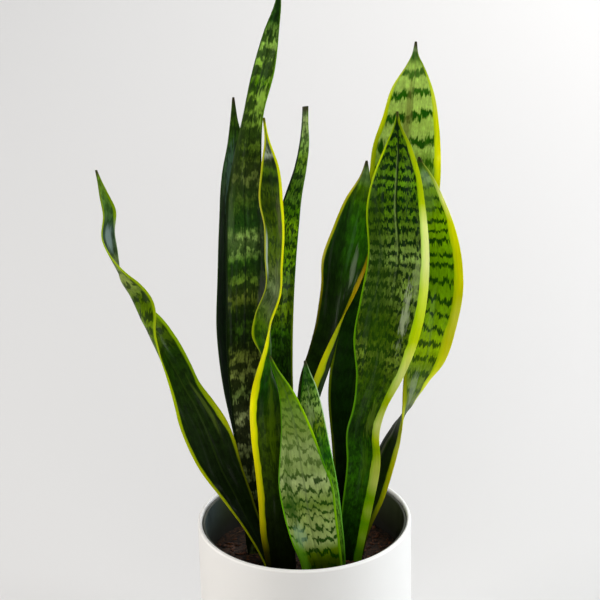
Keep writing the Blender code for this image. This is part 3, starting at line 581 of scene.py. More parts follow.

# %% [markdown]
# ## How each leaf looks
#
# No two leaves are alike, so each one has its own small table. All heights and widths are in millimetres.
# - body: thickness of the middle at the foot and at the tip, and how much the edges ripple
# - ground: height and colour of the pale ground, taken as the leaf is lit, so it holds painted shade, darkest
#   near the soil and on leaves turned from the light, and a few pale stops of painted sheen
# - dark: height, colour and strength of the dark bands, also darker where painted shade falls
# - bands: heights of the dark bands, from the foot up
# - pale_bands, where it is set: the heights in bands are those of the pale bands between the dark ones
# - slant, where there is one: how far the bands drop to the right, and to both sides, for each step across
# - skin: zigzag, teeth, breaks, width and length of a break, cover, softness and thread width of the bands
# - mottle: strength of the small clouds all over the leaf
# - left, right: height, colour and width of the border on that side; the yellow is the leaf's own, the dark
#   stretches are painted shade along an edge turned from the light, and the palest stops are painted
#   highlight
# - rib: height, colour and strength of the line down the middle, dark as painted crease shade on most leaves
#   and pale as a painted crease highlight on a few
# - patches: height, place across, reach along, reach across, colour, strength and raggedness; most are
#   painted shade and painted sheen

# %% Looks, left half of the plant
LEAF_LOOKS = {
    "leaf_far_left": {
        "body": (3.6, 1.4, 0.5),
        "ground": [(110, (14, 24, 6)), (200, (15, 27, 6)), (262, (26, 44, 10)), (300, (30, 54, 10)),
                   (331, (92, 116, 32)), (350, (74, 100, 20)), (366, (124, 140, 74)), (386, (54, 70, 44)),
                   (402, (46, 68, 50)), (425, (74, 108, 46)), (441, (108, 142, 56))],
        "dark": [(110, (8, 16, 3), 0.3), (262, (10, 20, 3), 0.45), (300, (14, 30, 4), 0.6),
                 (330, (22, 40, 8), 0.85), (370, (30, 48, 14), 0.8), (400, (22, 40, 22), 0.6),
                 (441, (40, 72, 18), 0.6)],
        "bands": (125, 139, 153, 167, 181, 195, 210, 225, 240, 255, 269, 282, 294, 306, 317, 328, 339, 350,
                  361, 373, 385, 397, 409, 420, 431),
        "skin": (0.5, 0.5, 1.4, 3.0, 6.0, 0.42, 0.5, 1.1),
        "mottle": 0.5,
        "left": [(110, (140, 146, 24), 1.2), (200, (168, 176, 34), 2.0), (290, (158, 176, 36), 1.8),
                 (345, (140, 160, 40), 1.4), (390, (150, 172, 50), 1.6), (440, (90, 110, 40), 0.8)],
        "right": [(110, (60, 64, 14), 0.9), (200, (84, 90, 14), 1.2), (226, (150, 158, 14), 2.4),
                  (242, (160, 170, 14), 4.4), (258, (140, 158, 20), 3.4), (276, (120, 146, 30), 1.6),
                  (330, (140, 166, 40), 1.8), (362, (142, 168, 50), 1.8), (380, (130, 142, 120), 0.7),
                  (400, (130, 142, 120), 0.7), (412, (120, 146, 34), 2.2), (440, (110, 130, 40), 1.0)],
        "rib": [(110, (30, 40, 18), 0.3), (260, (52, 72, 22), 0.4), (330, (40, 56, 16), 0.2)],
        # Painted sheen near the top, painted shade down the left side, and a paler stripe on the right.
        "patches": [(396, 0.25, 13, 0.5, (122, 140, 136), 0.75, 0.4),
                    (252, 0.5, 30, 0.12, (92, 112, 46), 0.5, 0.4),
                    (230, -0.55, 40, 0.25, (26, 40, 18), 0.5, 0.6)],
    },
    "leaf_back_left": {
        "body": (3.4, 1.4, 0.4),
        "ground": [(110, (8, 20, 4)), (352, (14, 28, 9)), (378, (20, 34, 9)), (392, (44, 60, 34)),
                   (416, (58, 86, 56)), (425, (52, 84, 30)), (443, (52, 76, 18)), (457, (40, 44, 24))],
        "dark": [(110, (5, 12, 3), 0.4), (380, (8, 18, 5), 0.6), (457, (14, 28, 8), 0.6)],
        "bands": (120, 136, 152, 168, 184, 200, 216, 232, 248, 264, 280, 296, 312, 328, 344, 358, 372, 386,
                  398, 410, 422, 434, 446),
        "skin": (0.7, 0.6, 1.4, 3.0, 8.0, 0.5, 0.6, 1.0),
        "mottle": 0.5,
        "left": [(110, (30, 44, 16), 0.6), (400, (50, 70, 34), 0.6), (457, (60, 80, 30), 0.5)],
        "right": [(110, (30, 44, 16), 0.6), (457, (60, 80, 30), 0.5)],
        "rib": [(110, (10, 20, 8), 0.4), (457, (10, 20, 8), 0.4)],
        # Painted blue-grey sheen near the top.
        "patches": [(404, -0.35, 22, 0.35, (72, 94, 84), 0.5, 1.8)],
    },
    "leaf_tall_left": {
        "body": (3.6, 1.4, 0.5),
        "ground": [(110, (60, 72, 34)), (198, (100, 110, 66)), (228, (160, 170, 118)),
                   (247, (108, 128, 70)), (262, (126, 138, 74)), (276, (108, 120, 56)), (290, (46, 70, 22)),
                   (306, (50, 76, 20)), (318, (70, 84, 30)), (325, (104, 118, 48)), (332, (92, 116, 46)),
                   (350, (62, 98, 32)), (366, (150, 178, 98)), (378, (64, 96, 36)), (396, (58, 80, 28)),
                   (412, (98, 112, 56)), (430, (66, 86, 26)), (456, (104, 134, 54)), (474, (136, 174, 70)),
                   (484, (76, 118, 28)), (497, (134, 172, 70)), (512, (142, 178, 84)), (530, (40, 76, 24)),
                   (550, (26, 50, 16))],
        "dark": [(110, (10, 18, 4), 0.95), (300, (13, 24, 5), 0.9), (330, (12, 34, 6), 0.85),
                 (380, (22, 52, 14), 0.85), (420, (26, 40, 10), 0.85), (480, (24, 50, 10), 0.9),
                 (550, (20, 44, 10), 0.9)],
        "bands": (131, 145, 161, 182, 203, 231, 250, 262, 276, 298, 319, 337, 354, 371, 395, 414, 426, 438,
                  455, 463, 474, 487, 499, 512, 524, 536),
        "skin": (0.4, 0.45, 1.7, 6.0, 7.0, 0.32, 0.9, 1.0),
        "pale_bands": True,
        "mottle": 0.9,
        # This leaf has no yellow border: its dark edges are painted shade, and the green ones near the tip
        # are painted light on the lit edge.
        "left": [(110, (16, 26, 8), 1.2), (400, (22, 36, 12), 1.4), (470, (60, 80, 30), 0.8),
                 (550, (60, 90, 30), 0.6)],
        "right": [(110, (20, 30, 10), 0.8), (440, (24, 40, 12), 0.8), (462, (96, 130, 44), 0.8),
                  (492, (110, 150, 54), 0.8), (520, (80, 110, 40), 0.7)],
        "rib": [(110, (10, 20, 6), 0.4), (330, (10, 22, 6), 0.6), (550, (18, 36, 12), 0.5)],
        # Painted highlights on the lit edges, painted sheen on the right at 318 mm, and painted shade down
        # the left and along the right edge.
        "patches": [(470, 0.6, 14, 0.5, (154, 192, 84), 0.7, 1.8),
                    (448, -0.75, 60, 0.4, (34, 46, 20), 0.6, 0.8),
                    (318, 0.78, 30, 0.2, (118, 122, 112), 0.75, 0.4),
                    (350, 0.75, 60, 0.25, (16, 30, 10), 0.7, 0.6),
                    (386, -0.75, 26, 0.2, (74, 92, 56), 0.5, 0.5)],
    },
    "leaf_twisted": {
        "body": (3.4, 1.4, 0.5),
        "ground": [(110, (14, 18, 3)), (162, (15, 24, 3)), (180, (22, 38, 3)), (203, (38, 56, 5)),
                   (236, (54, 74, 16)), (258, (26, 50, 6)), (276, (22, 62, 7)), (294, (40, 90, 4)),
                   (312, (62, 100, 5)), (324, (84, 108, 40)), (335, (70, 84, 50)), (345, (98, 116, 72)),
                   (355, (80, 96, 48)), (366, (74, 94, 30)), (378, (70, 96, 20)), (390, (62, 86, 12)),
                   (408, (46, 64, 14)), (420, (62, 84, 24)), (428, (20, 38, 10)), (435, (70, 100, 28)),
                   (442, (60, 70, 44)), (446, (150, 162, 140)), (456, (90, 100, 76)), (470, (60, 80, 26))],
        "dark": [(110, (8, 12, 2), 0.4), (200, (14, 26, 3), 0.6), (280, (12, 40, 5), 0.7),
                 (330, (26, 50, 10), 0.6), (380, (20, 40, 8), 0.75), (470, (22, 40, 10), 0.7)],
        "bands": (124, 137, 151, 166, 180, 194, 208, 222, 237, 252, 266, 280, 294, 310, 324, 338, 352, 366,
                  380, 394, 406, 417, 428, 441, 451, 461),
        "skin": (0.5, 0.5, 1.4, 2.4, 5.0, 0.42, 0.6, 0.9),
        "mottle": 0.6,
        "left": [(110, (20, 26, 6), 0.6), (225, (30, 44, 8), 0.6), (236, (150, 150, 30), 1.2),
                 (256, (150, 150, 30), 1.2), (270, (40, 60, 14), 0.6), (300, (140, 160, 36), 1.2),
                 (330, (150, 160, 60), 0.9), (400, (176, 176, 70), 1.1), (450, (180, 184, 60), 1.2)],
        "right": [(110, (24, 24, 6), 4.0), (137, (60, 58, 10), 4.2), (162, (166, 158, 20), 4.3),
                  (187, (190, 180, 16), 4.3), (212, (206, 200, 36), 4.3), (236, (232, 226, 36), 4.2),
                  (260, (244, 238, 30), 4.2), (280, (210, 206, 44), 3.8), (300, (216, 214, 46), 3.0),
                  (330, (216, 218, 46), 2.8), (412, (214, 218, 62), 2.3), (450, (200, 206, 60), 1.3)],
        "rib": [(110, (12, 20, 5), 0.3), (470, (40, 56, 20), 0.3)],
        # Painted sheen on the bulges, a painted highlight along the left edge, and painted shade in the twist
        # near the tip.
        "patches": [(344, 0.2, 26, 0.4, (120, 132, 96), 0.3, 1.6),
                    (370, -0.84, 22, 0.1, (176, 192, 176), 0.85, 0.2),
                    (440, 0.5, 8, 0.4, (14, 30, 8), 0.8, 0.3),
                    (248, -0.15, 44, 0.3, (74, 98, 22), 0.5, 1.2),
                    (396, 0.6, 22, 0.4, (92, 92, 64), 0.4, 0.6)],
    },
    "leaf_blunt": {
        "body": (3.2, 1.6, 0.4),
        "ground": [(110, (14, 30, 6)), (273, (34, 66, 8)), (288, (54, 100, 8)), (303, (104, 136, 14)),
                   (318, (86, 118, 12)), (335, (98, 150, 10)), (349, (112, 164, 16)), (358, (84, 130, 12)),
                   (367, (132, 180, 30)), (378, (66, 112, 16)), (388, (84, 120, 44)), (396, (66, 98, 26)),
                   (404, (84, 120, 44)), (418, (104, 140, 46)), (432, (130, 160, 86)),
                   (447, (150, 168, 106)), (455, (92, 108, 72))],
        "dark": [(110, (8, 18, 3), 0.8), (273, (12, 30, 5), 0.8), (350, (14, 44, 5), 0.9),
                 (400, (18, 44, 8), 0.9), (455, (40, 66, 30), 0.6)],
        "bands": (126, 138, 150, 163, 176, 190, 203, 216, 229, 241, 254, 266, 282, 297, 313, 324, 335, 344,
                  354, 366, 377, 384, 395, 406, 416, 425, 432, 444, 454),
        "skin": (0.6, 0.8, 1.7, 2.6, 4.5, 0.46, 0.5, 0.9),
        "mottle": 0.9,
        # The dark left border is painted shade along the edge that turns from the light.
        "left": [(110, (14, 24, 8), 1.0), (400, (20, 34, 12), 1.1), (455, (70, 86, 60), 0.6)],
        "right": [(110, (90, 110, 24), 0.8), (290, (110, 130, 24), 1.0), (330, (50, 90, 14), 0.6),
                  (455, (110, 140, 70), 0.7)],
        "rib": [(110, (16, 34, 8), 0.3), (455, (26, 50, 16), 0.3)],
        # Painted shade down both sides.
        "patches": [(300, 0.75, 60, 0.25, (26, 44, 10), 0.5, 0.6),
                    (340, -0.7, 40, 0.25, (16, 30, 8), 0.6, 0.6)],
    },
    "leaf_small_front": {
        "body": (3.8, 1.4, 0.6),
        "ground": [(110, (50, 70, 6)), (137, (72, 96, 10)), (144, (104, 132, 36)), (152, (156, 174, 108)),
                   (170, (140, 158, 92)), (178, (126, 144, 78)), (184, (96, 120, 50)),
                   (191, (122, 142, 76)), (205, (150, 166, 110)), (213, (126, 146, 84)),
                   (230, (132, 150, 92)), (247, (108, 130, 62)), (263, (100, 128, 56)),
                   (274, (88, 120, 34)), (286, (66, 96, 18)), (298, (24, 60, 3))],
        "dark": [(110, (20, 56, 4), 0.5), (137, (16, 64, 4), 0.9), (150, (20, 62, 6), 0.95),
                 (205, (34, 58, 14), 0.95), (222, (54, 80, 24), 0.7), (260, (56, 84, 28), 0.7),
                 (300, (24, 60, 6), 0.6)],
        "bands": (118, 131, 144, 157, 166, 177, 183, 190, 198, 211, 224, 234, 242, 250, 258, 266, 274, 283,
                  293),
        "slant": (0.18, 0.2),
        "skin": (0.9, 0.4, 0.75, 4.0, 4.0, 0.32, 0.45, 1.5),
        "mottle": 0.3,
        "left": [(110, (96, 150, 40), 1.6), (160, (110, 170, 50), 1.5), (220, (84, 130, 40), 1.1),
                 (300, (60, 110, 20), 0.8)],
        "right": [(110, (104, 150, 30), 1.8), (175, (110, 152, 40), 1.8), (222, (60, 116, 8), 1.5),
                  (246, (138, 180, 36), 1.7), (300, (100, 140, 30), 0.9)],
        "rib": [(110, (60, 84, 30), 0.3), (210, (92, 108, 66), 0.6), (300, (70, 100, 40), 0.4)],
        # Painted shade on the folded left third and low down, and painted light with a pale painted
        # reflection low on the left.
        "patches": [(202, -0.62, 46, 0.24, (48, 76, 24), 0.55, 1.2),
                    (140, -0.75, 22, 0.35, (112, 172, 60), 0.8, 0.5),
                    (160, -0.5, 12, 0.3, (140, 176, 140), 0.5, 0.6),
                    (182, -0.65, 14, 0.45, (30, 66, 16), 0.6, 1.4),
                    (120, 0.2, 18, 0.8, (56, 76, 8), 0.6, 0.5)],
    },
    "leaf_small_second": {
        "body": (3.4, 1.4, 0.4),
        "ground": [(110, (40, 84, 14)), (160, (92, 128, 50)), (200, (94, 142, 42)), (214, (30, 86, 8)),
                   (230, (60, 108, 6)), (242, (94, 118, 34)), (254, (118, 144, 76)), (264, (112, 146, 66)),
                   (274, (60, 96, 34)), (290, (40, 80, 26))],
        "dark": [(110, (14, 46, 4), 0.6), (214, (14, 54, 4), 0.8), (290, (16, 48, 8), 0.9)],
        "bands": (118, 130, 142, 154, 166, 178, 190, 202, 214, 225, 237, 245, 251, 258, 264, 271, 277, 284),
        "skin": (0.7, 0.9, 1.4, 2.0, 5.0, 0.48, 0.45, 0.9),
        "mottle": 0.6,
        "left": [(110, (40, 90, 14), 0.6), (290, (40, 90, 20), 0.6)],
        # The pale, nearly white right border is a painted highlight along the lit edge.
        "right": [(110, (90, 150, 40), 0.8), (214, (120, 176, 90), 0.9), (260, (190, 214, 170), 0.9),
                  (290, (120, 150, 100), 0.6)],
        "rib": [(110, (30, 60, 14), 0.3), (290, (30, 60, 14), 0.3)],
        "patches": [(252, -0.15, 18, 0.3, (134, 156, 96), 0.6, 1.6)],
    },
}
print("looks so far:", len(LEAF_LOOKS))

# %% Looks, right half of the plant
LEAF_LOOKS.update({
    "leaf_dark_centre": {
        "body": (3.4, 1.4, 0.5),
        "ground": [(110, (16, 30, 5)), (200, (24, 46, 6)), (260, (26, 48, 6)), (290, (18, 34, 5)),
                   (305, (18, 38, 3)), (330, (22, 46, 3)), (344, (28, 62, 3)), (360, (38, 86, 3)),
                   (376, (42, 98, 2)), (392, (54, 108, 4)), (399, (62, 104, 6)), (406, (86, 128, 14)),
                   (413, (104, 136, 72)), (424, (90, 110, 70))],
        "dark": [(110, (6, 14, 2), 0.3), (330, (8, 22, 2), 0.45), (400, (16, 44, 3), 0.45),
                 (424, (40, 60, 20), 0.3)],
        "bands": (124, 138, 152, 166, 180, 194, 208, 222, 236, 250, 264, 278, 292, 306, 320, 334, 348, 362,
                  376, 390, 402, 414),
        "skin": (0.6, 0.5, 1.6, 3.0, 8.0, 0.5, 0.8, 1.0),
        "mottle": 0.5,
        "left": [(110, (30, 34, 8), 0.8), (290, (40, 44, 8), 0.7), (330, (124, 118, 24), 1.5),
                 (352, (176, 168, 70), 1.8), (385, (160, 160, 40), 1.8), (406, (186, 178, 70), 1.8),
                 (420, (120, 120, 60), 0.8)],
        "right": [(110, (80, 84, 10), 2.0), (246, (140, 150, 14), 3.6), (262, (164, 168, 16), 3.8),
                  (287, (174, 176, 24), 3.8), (302, (154, 162, 18), 4.4), (318, (152, 148, 18), 4.4),
                  (336, (184, 154, 22), 3.8), (352, (170, 140, 50), 2.4), (366, (110, 120, 26), 1.4),
                  (400, (70, 100, 20), 0.9), (420, (90, 110, 40), 0.6)],
        "rib": [(110, (10, 24, 4), 0.3), (420, (24, 56, 8), 0.3)],
        # Painted shade over the left part, and painted sheen in the middle and at the right.
        "patches": [(352, -0.55, 60, 0.5, (8, 22, 2), 0.75, 0.5),
                    (386, -0.7, 30, 0.35, (12, 36, 2), 0.6, 0.5),
                    (366, 0.1, 26, 0.12, (72, 100, 66), 0.35, 0.6),
                    (349, 0.42, 18, 0.14, (120, 134, 110), 0.6, 0.5)],
    },
    "leaf_broad_right": {
        "body": (3.8, 1.4, 0.6),
        "ground": [(110, (18, 40, 8)), (152, (24, 54, 9)), (185, (40, 84, 10)), (212, (32, 72, 7)),
                   (230, (24, 48, 5)), (242, (38, 68, 8)), (256, (50, 80, 12)), (272, (66, 90, 24)),
                   (288, (100, 122, 46)), (302, (70, 92, 24)), (318, (72, 94, 28)), (330, (92, 116, 48)),
                   (343, (112, 138, 62)), (352, (84, 106, 40)), (364, (124, 152, 76)), (376, (86, 110, 44)),
                   (392, (80, 112, 34)), (408, (66, 98, 24)), (422, (92, 134, 40)), (440, (72, 104, 28)),
                   (454, (80, 118, 26)), (468, (30, 54, 12))],
        "dark": [(110, (12, 30, 4), 0.5), (256, (14, 40, 4), 0.6), (282, (18, 44, 6), 0.9),
                 (320, (22, 42, 6), 0.95), (372, (18, 42, 8), 1.0), (408, (12, 40, 8), 1.0),
                 (468, (10, 34, 6), 1.0)],
        "bands": (112, 128, 146, 164, 179, 196, 213, 230, 246, 260, 271, 281, 292, 301, 313, 323, 333, 342,
                  351, 359, 367, 375, 386, 393, 402, 409, 418, 425, 433, 441, 449, 456, 463),
        "skin": (0.5, 0.6, 1.3, 2.8, 4.2, 0.46, 0.5, 1.0),
        "mottle": 0.9,
        "left": [(110, (60, 110, 16), 0.9), (240, (84, 136, 20), 1.0), (330, (96, 146, 24), 1.1),
                 (392, (130, 160, 40), 1.1), (440, (190, 212, 60), 1.4), (468, (120, 150, 40), 0.9)],
        # The yellow right border is the leaf's own; its palest, nearly white stops are painted highlight.
        "right": [(110, (100, 154, 24), 5.2), (128, (92, 150, 20), 5.4), (140, (150, 190, 70), 5.6),
                  (152, (104, 158, 30), 6.0), (162, (160, 188, 76), 6.2), (173, (116, 164, 30), 6.2),
                  (186, (184, 198, 100), 6.4), (200, (178, 192, 84), 6.2), (213, (130, 160, 24), 5.4),
                  (222, (176, 190, 60), 5.2), (236, (200, 210, 122), 5.2), (256, (158, 180, 30), 4.6),
                  (276, (206, 218, 130), 5.6), (292, (210, 222, 104), 6.8), (306, (190, 212, 54), 7.2),
                  (326, (200, 222, 76), 7.0), (344, (214, 232, 100), 6.4), (362, (236, 248, 158), 6.0),
                  (390, (234, 246, 150), 5.2), (410, (176, 200, 30), 4.6), (446, (170, 192, 24), 3.4),
                  (464, (120, 140, 30), 1.6)],
        "rib": [(110, (20, 44, 6), 0.3), (300, (24, 48, 8), 0.3), (345, (16, 38, 6), 0.8),
                (462, (10, 28, 4), 0.95)],
        # Painted shade over the left half, painted sheen streaks on the right, a painted highlight beside the
        # middle line, and two paler patches low down.
        "patches": [(404, -0.06, 60, 0.035, (126, 150, 84), 0.5, 0.4),
                    (392, -0.75, 54, 0.34, (34, 58, 8), 0.6, 0.9),
                    (334, -0.2, 34, 0.34, (40, 62, 12), 0.5, 1.4),
                    (334, -0.62, 50, 0.42, (30, 58, 6), 0.75, 0.8),
                    (300, -0.2, 26, 0.5, (40, 74, 10), 0.5, 1.2),
                    (324, 0.42, 27, 0.13, (170, 182, 146), 0.65, 1.3),
                    (238, 0.3, 16, 0.3, (96, 122, 44), 0.5, 1.4),
                    (200, 0.1, 20, 0.3, (74, 112, 20), 0.4, 1.4),
                    (352, 0.62, 20, 0.14, (150, 170, 110), 0.5, 0.8),
                    (272, -0.3, 24, 0.5, (34, 62, 8), 0.6, 0.7)],
    },
    "leaf_tall_right": {
        "body": (3.8, 1.4, 0.6),
        "ground": [(110, (14, 24, 4)), (240, (16, 42, 3)), (300, (22, 54, 3)), (340, (44, 84, 10)),
                   (380, (90, 128, 30)), (398, (112, 146, 46)), (412, (146, 180, 78)),
                   (426, (174, 204, 106)), (440, (160, 192, 92)), (455, (166, 196, 100)),
                   (480, (160, 192, 96)), (487, (60, 96, 36)), (493, (110, 130, 92)), (499, (50, 58, 40))],
        "dark": [(110, (8, 18, 2), 0.5), (300, (10, 32, 2), 0.6), (385, (20, 64, 4), 0.95),
                 (455, (28, 84, 8), 1.0), (490, (40, 84, 30), 0.8)],
        "bands": (118, 134, 150, 167, 184, 201, 218, 235, 252, 269, 286, 303, 320, 337, 354, 372, 391, 408,
                  425, 444, 461, 477, 490),
        "slant": (-0.28, 0.0),
        "skin": (0.26, 0.22, 0.6, 3.0, 6.0, 0.35, 0.5, 1.2),
        "mottle": 0.5,
        "left": [(110, (50, 60, 10), 1.0), (240, (100, 116, 14), 1.8), (300, (110, 130, 20), 2.0),
                 (380, (170, 188, 24), 3.4), (410, (186, 202, 34), 3.6), (440, (206, 218, 56), 3.2),
                 (470, (206, 220, 90), 1.6), (492, (110, 130, 70), 0.5)],
        "right": [(110, (80, 90, 14), 2.0), (330, (160, 176, 20), 4.6), (396, (214, 222, 16), 5.4),
                  (408, (220, 226, 20), 5.4), (417, (246, 246, 86), 5.4), (426, (236, 238, 50), 5.1),
                  (434, (212, 222, 18), 4.8), (452, (216, 224, 84), 3.6), (470, (200, 218, 80), 2.0),
                  (484, (130, 156, 50), 0.9), (496, (60, 70, 40), 0.5)],
        "rib": [(110, (14, 30, 5), 0.3), (380, (60, 76, 36), 0.3), (480, (100, 116, 58), 0.35)],
        "patches": [(408, 0.6, 22, 0.2, (70, 112, 24), 0.5, 1.4),
                    (440, -0.13, 36, 0.16, (104, 102, 52), 0.6, 0.5),
                    (360, 0.0, 60, 1.2, (20, 56, 4), 0.35, 0.4)],
    },
    "leaf_far_right": {
        "body": (3.6, 1.4, 0.7),
        "ground": [(110, (12, 22, 3)), (200, (18, 32, 5)), (218, (30, 40, 12)), (236, (84, 98, 52)),
                   (250, (94, 112, 44)), (264, (94, 118, 40)), (281, (136, 168, 36)), (298, (118, 160, 8)),
                   (330, (100, 146, 8)), (352, (110, 156, 18)), (378, (130, 174, 34)),
                   (392, (106, 144, 48)), (401, (130, 168, 60)), (409, (148, 180, 108)),
                   (415, (100, 138, 58)), (424, (30, 50, 10))],
        "dark": [(110, (6, 12, 2), 0.3), (220, (14, 26, 5), 0.4), (250, (24, 50, 14), 0.75),
                 (300, (18, 54, 8), 0.95), (380, (20, 58, 12), 0.95), (424, (40, 80, 30), 0.6)],
        "bands": (120, 134, 148, 162, 177, 191, 204, 218, 234, 247, 259, 271, 283, 293, 306, 317, 331, 344,
                  350, 362, 369, 376, 385, 393, 403, 411),
        "skin": (0.4, 0.35, 0.6, 3.0, 7.0, 0.34, 0.4, 1.1),
        "mottle": 0.4,
        "left": [(110, (40, 44, 5), 2.2), (150, (90, 94, 14), 2.8), (170, (140, 142, 24), 3.0),
                 (190, (160, 160, 34), 3.2), (208, (186, 188, 80), 3.8), (224, (168, 174, 52), 4.4),
                 (240, (124, 130, 20), 4.2), (255, (110, 116, 10), 3.0), (268, (90, 120, 16), 1.4),
                 (330, (80, 130, 14), 1.2), (400, (120, 150, 50), 1.0)],
        "right": [(110, (14, 20, 4), 0.6), (226, (24, 30, 8), 0.6), (236, (150, 160, 60), 3.6),
                  (250, (196, 200, 74), 6.4), (266, (190, 196, 62), 7.0), (285, (194, 194, 56), 7.2),
                  (308, (208, 210, 80), 7.2), (322, (204, 206, 66), 7.2), (336, (222, 222, 24), 7.0),
                  (352, (214, 216, 10), 6.6), (370, (222, 228, 8), 5.6), (394, (236, 242, 140), 3.4),
                  (410, (170, 190, 80), 1.6), (424, (70, 84, 30), 0.6)],
        "rib": [(110, (10, 20, 3), 0.3), (300, (70, 110, 8), 0.4), (424, (70, 100, 30), 0.3)],
        # Painted blue-grey sheen near the tip, and grey painted sheen lower down.
        "patches": [(409, 0.1, 8, 0.6, (150, 178, 140), 0.5, 0.6),
                    (392, -0.2, 18, 0.5, (120, 156, 76), 0.4, 1.2),
                    (248, -0.3, 16, 0.3, (124, 136, 112), 0.5, 0.8),
                    (196, 0.2, 26, 0.16, (110, 112, 90), 0.45, 0.8)],
    },
})
print("looks in all:", len(LEAF_LOOKS))

# %% [markdown]
# ## One leaf material
#
# Every leaf uses the same net with its own numbers. From back to front it lays down the pale ground, the
# dark bands, the middle rib, the patches, the two borders (yellow on most leaves), and last a dry brown tip.
# The ground, the rib, the patches and the borders also carry painted shade and painted sheen. The bands and
# threads are also added up as a height, so they stand up a little. The leaf itself hardly shines: its wax
# lies in streaks, which are a thin clear coat over it, and only there do the windows show.

# %% What the skin reads
def blade_spots(tree):
    """What is stored on the blade: across (-1 to 1), millimetres along, half width, band count, borders."""
    blade = add(tree, "ShaderNodeAttribute", attribute_name="blade")
    parts = add(tree, "ShaderNodeSeparateXYZ", {0: blade.outputs["Vector"]})
    band = add(tree, "ShaderNodeAttribute", attribute_name="band")
    borders = add(tree, "ShaderNodeAttribute", attribute_name="borders")
    widths = add(tree, "ShaderNodeSeparateXYZ", {0: borders.outputs["Vector"]})
    across, along, half = parts.outputs
    across_mm = maths(tree, "MULTIPLY", across, half)
    return {
        "across": across,
        "from_left": maths(tree, "ADD", half, across_mm),
        "from_right": maths(tree, "SUBTRACT", half, across_mm),
        "left_width": widths.outputs[0],
        "right_width": widths.outputs[1],
        "band": band.outputs["Fac"],
        "place": {"Across mm": across_mm, "Along mm": along},
    }


# %% Marks on a leaf
# Width and length in millimetres, and a step that gives each kind of mark a noise of its own.
MARKS = {
    "wide": (2.4, 46.0, 20.0),
    "fine": (0.5, 14.0, 30.0),
    "clouds": (3.2, 6.5, 35.0),
    "specks": (1.2, 2.6, 38.0),
    "streaks": (3.2, 60.0, 80.0),
}
PATCH_STEP = 40.0
BORDER_STEPS = (("left", 60.0), ("right", 70.0))


def grey(tree, value):
    """A grey colour from one number."""
    return add(tree, "ShaderNodeCombineColor", {0: value, 1: value, 2: value}).outputs[0]


def marks(tree, place, kind, seed):
    """One kind of mark all over a leaf, from 0 to 1."""
    width, length, step = MARKS[kind]
    sockets = {**place, "Width": width, "Length": length, "Seed": seed + step}
    return use_group(tree, threads, sockets).outputs[0]


def leaf_bands(tree, look, spots, seed):
    """Mask of the dark bands; where the look counts the pale bands, 1 - mask."""
    zigzag, teeth, breaks, break_width, break_length, cover, softness, width = look["skin"]
    mask = use_group(tree, torn_bands, {
        **spots["place"], "Band": spots["band"], "Zigzag": zigzag, "Teeth": teeth, "Breaks": breaks,
        "Break width": break_width, "Break length": break_length, "Cover": cover, "Softness": softness,
        "Thread": width, "Seed": seed,
    }).outputs[0]
    return maths(tree, "SUBTRACT", 1.0, mask) if look.get("pale_bands") else mask


def leaf_tint(tree, look, wide, fine, clouds, specks):
    """How light each point is: wide threads x fine threads x mottle, each kept near 1."""
    tint = maths(tree, "MULTIPLY_ADD", wide, 0.30, 0.86)
    tint = maths(tree, "MULTIPLY", tint, maths(tree, "MULTIPLY_ADD", fine, 0.16, 0.92))
    mottle = maths(tree, "MULTIPLY_ADD", specks, 0.7, clouds)
    mottle = maths(tree, "MULTIPLY_ADD", mottle, look["mottle"], 1.0 - 0.85 * look["mottle"])
    return maths(tree, "MULTIPLY", tint, mottle)


def leaf_finish(tree, shader, place, bands, wide, fine, seed):
    """Lays the wax on as streaks of clear coat, and gives back the roughness and the height of the skin."""
    shader.inputs["Specular IOR Level"].default_value = 0.03
    shader.inputs["Coat Roughness"].default_value = 0.22
    streaks = step_up(tree, marks(tree, place, "streaks", seed), 0.5, 0.9)
    tree.links.new(maths(tree, "MULTIPLY", streaks, 0.25), shader.inputs["Coat Weight"])
    speck = noise(tree, object_place(tree), 900.0, 2.0)
    gloss = maths(tree, "MULTIPLY_ADD", wide, 0.10, 0.36)
    gloss = maths(tree, "MULTIPLY_ADD", bands, -0.03, gloss)
    gloss = maths(tree, "MULTIPLY_ADD", speck, 0.12, gloss)
    relief = maths(tree, "MULTIPLY_ADD", fine, 0.35, maths(tree, "MULTIPLY", wide, 0.7))
    relief = maths(tree, "MULTIPLY_ADD", bands, 0.25, relief)
    return gloss, maths(tree, "MULTIPLY_ADD", speck, 0.15, relief)


print("kinds of mark:", ", ".join(MARKS))

# %% Leaf material
DRY_TIP_FROM = 6.0
DRY_TIP_FULL = 1.5


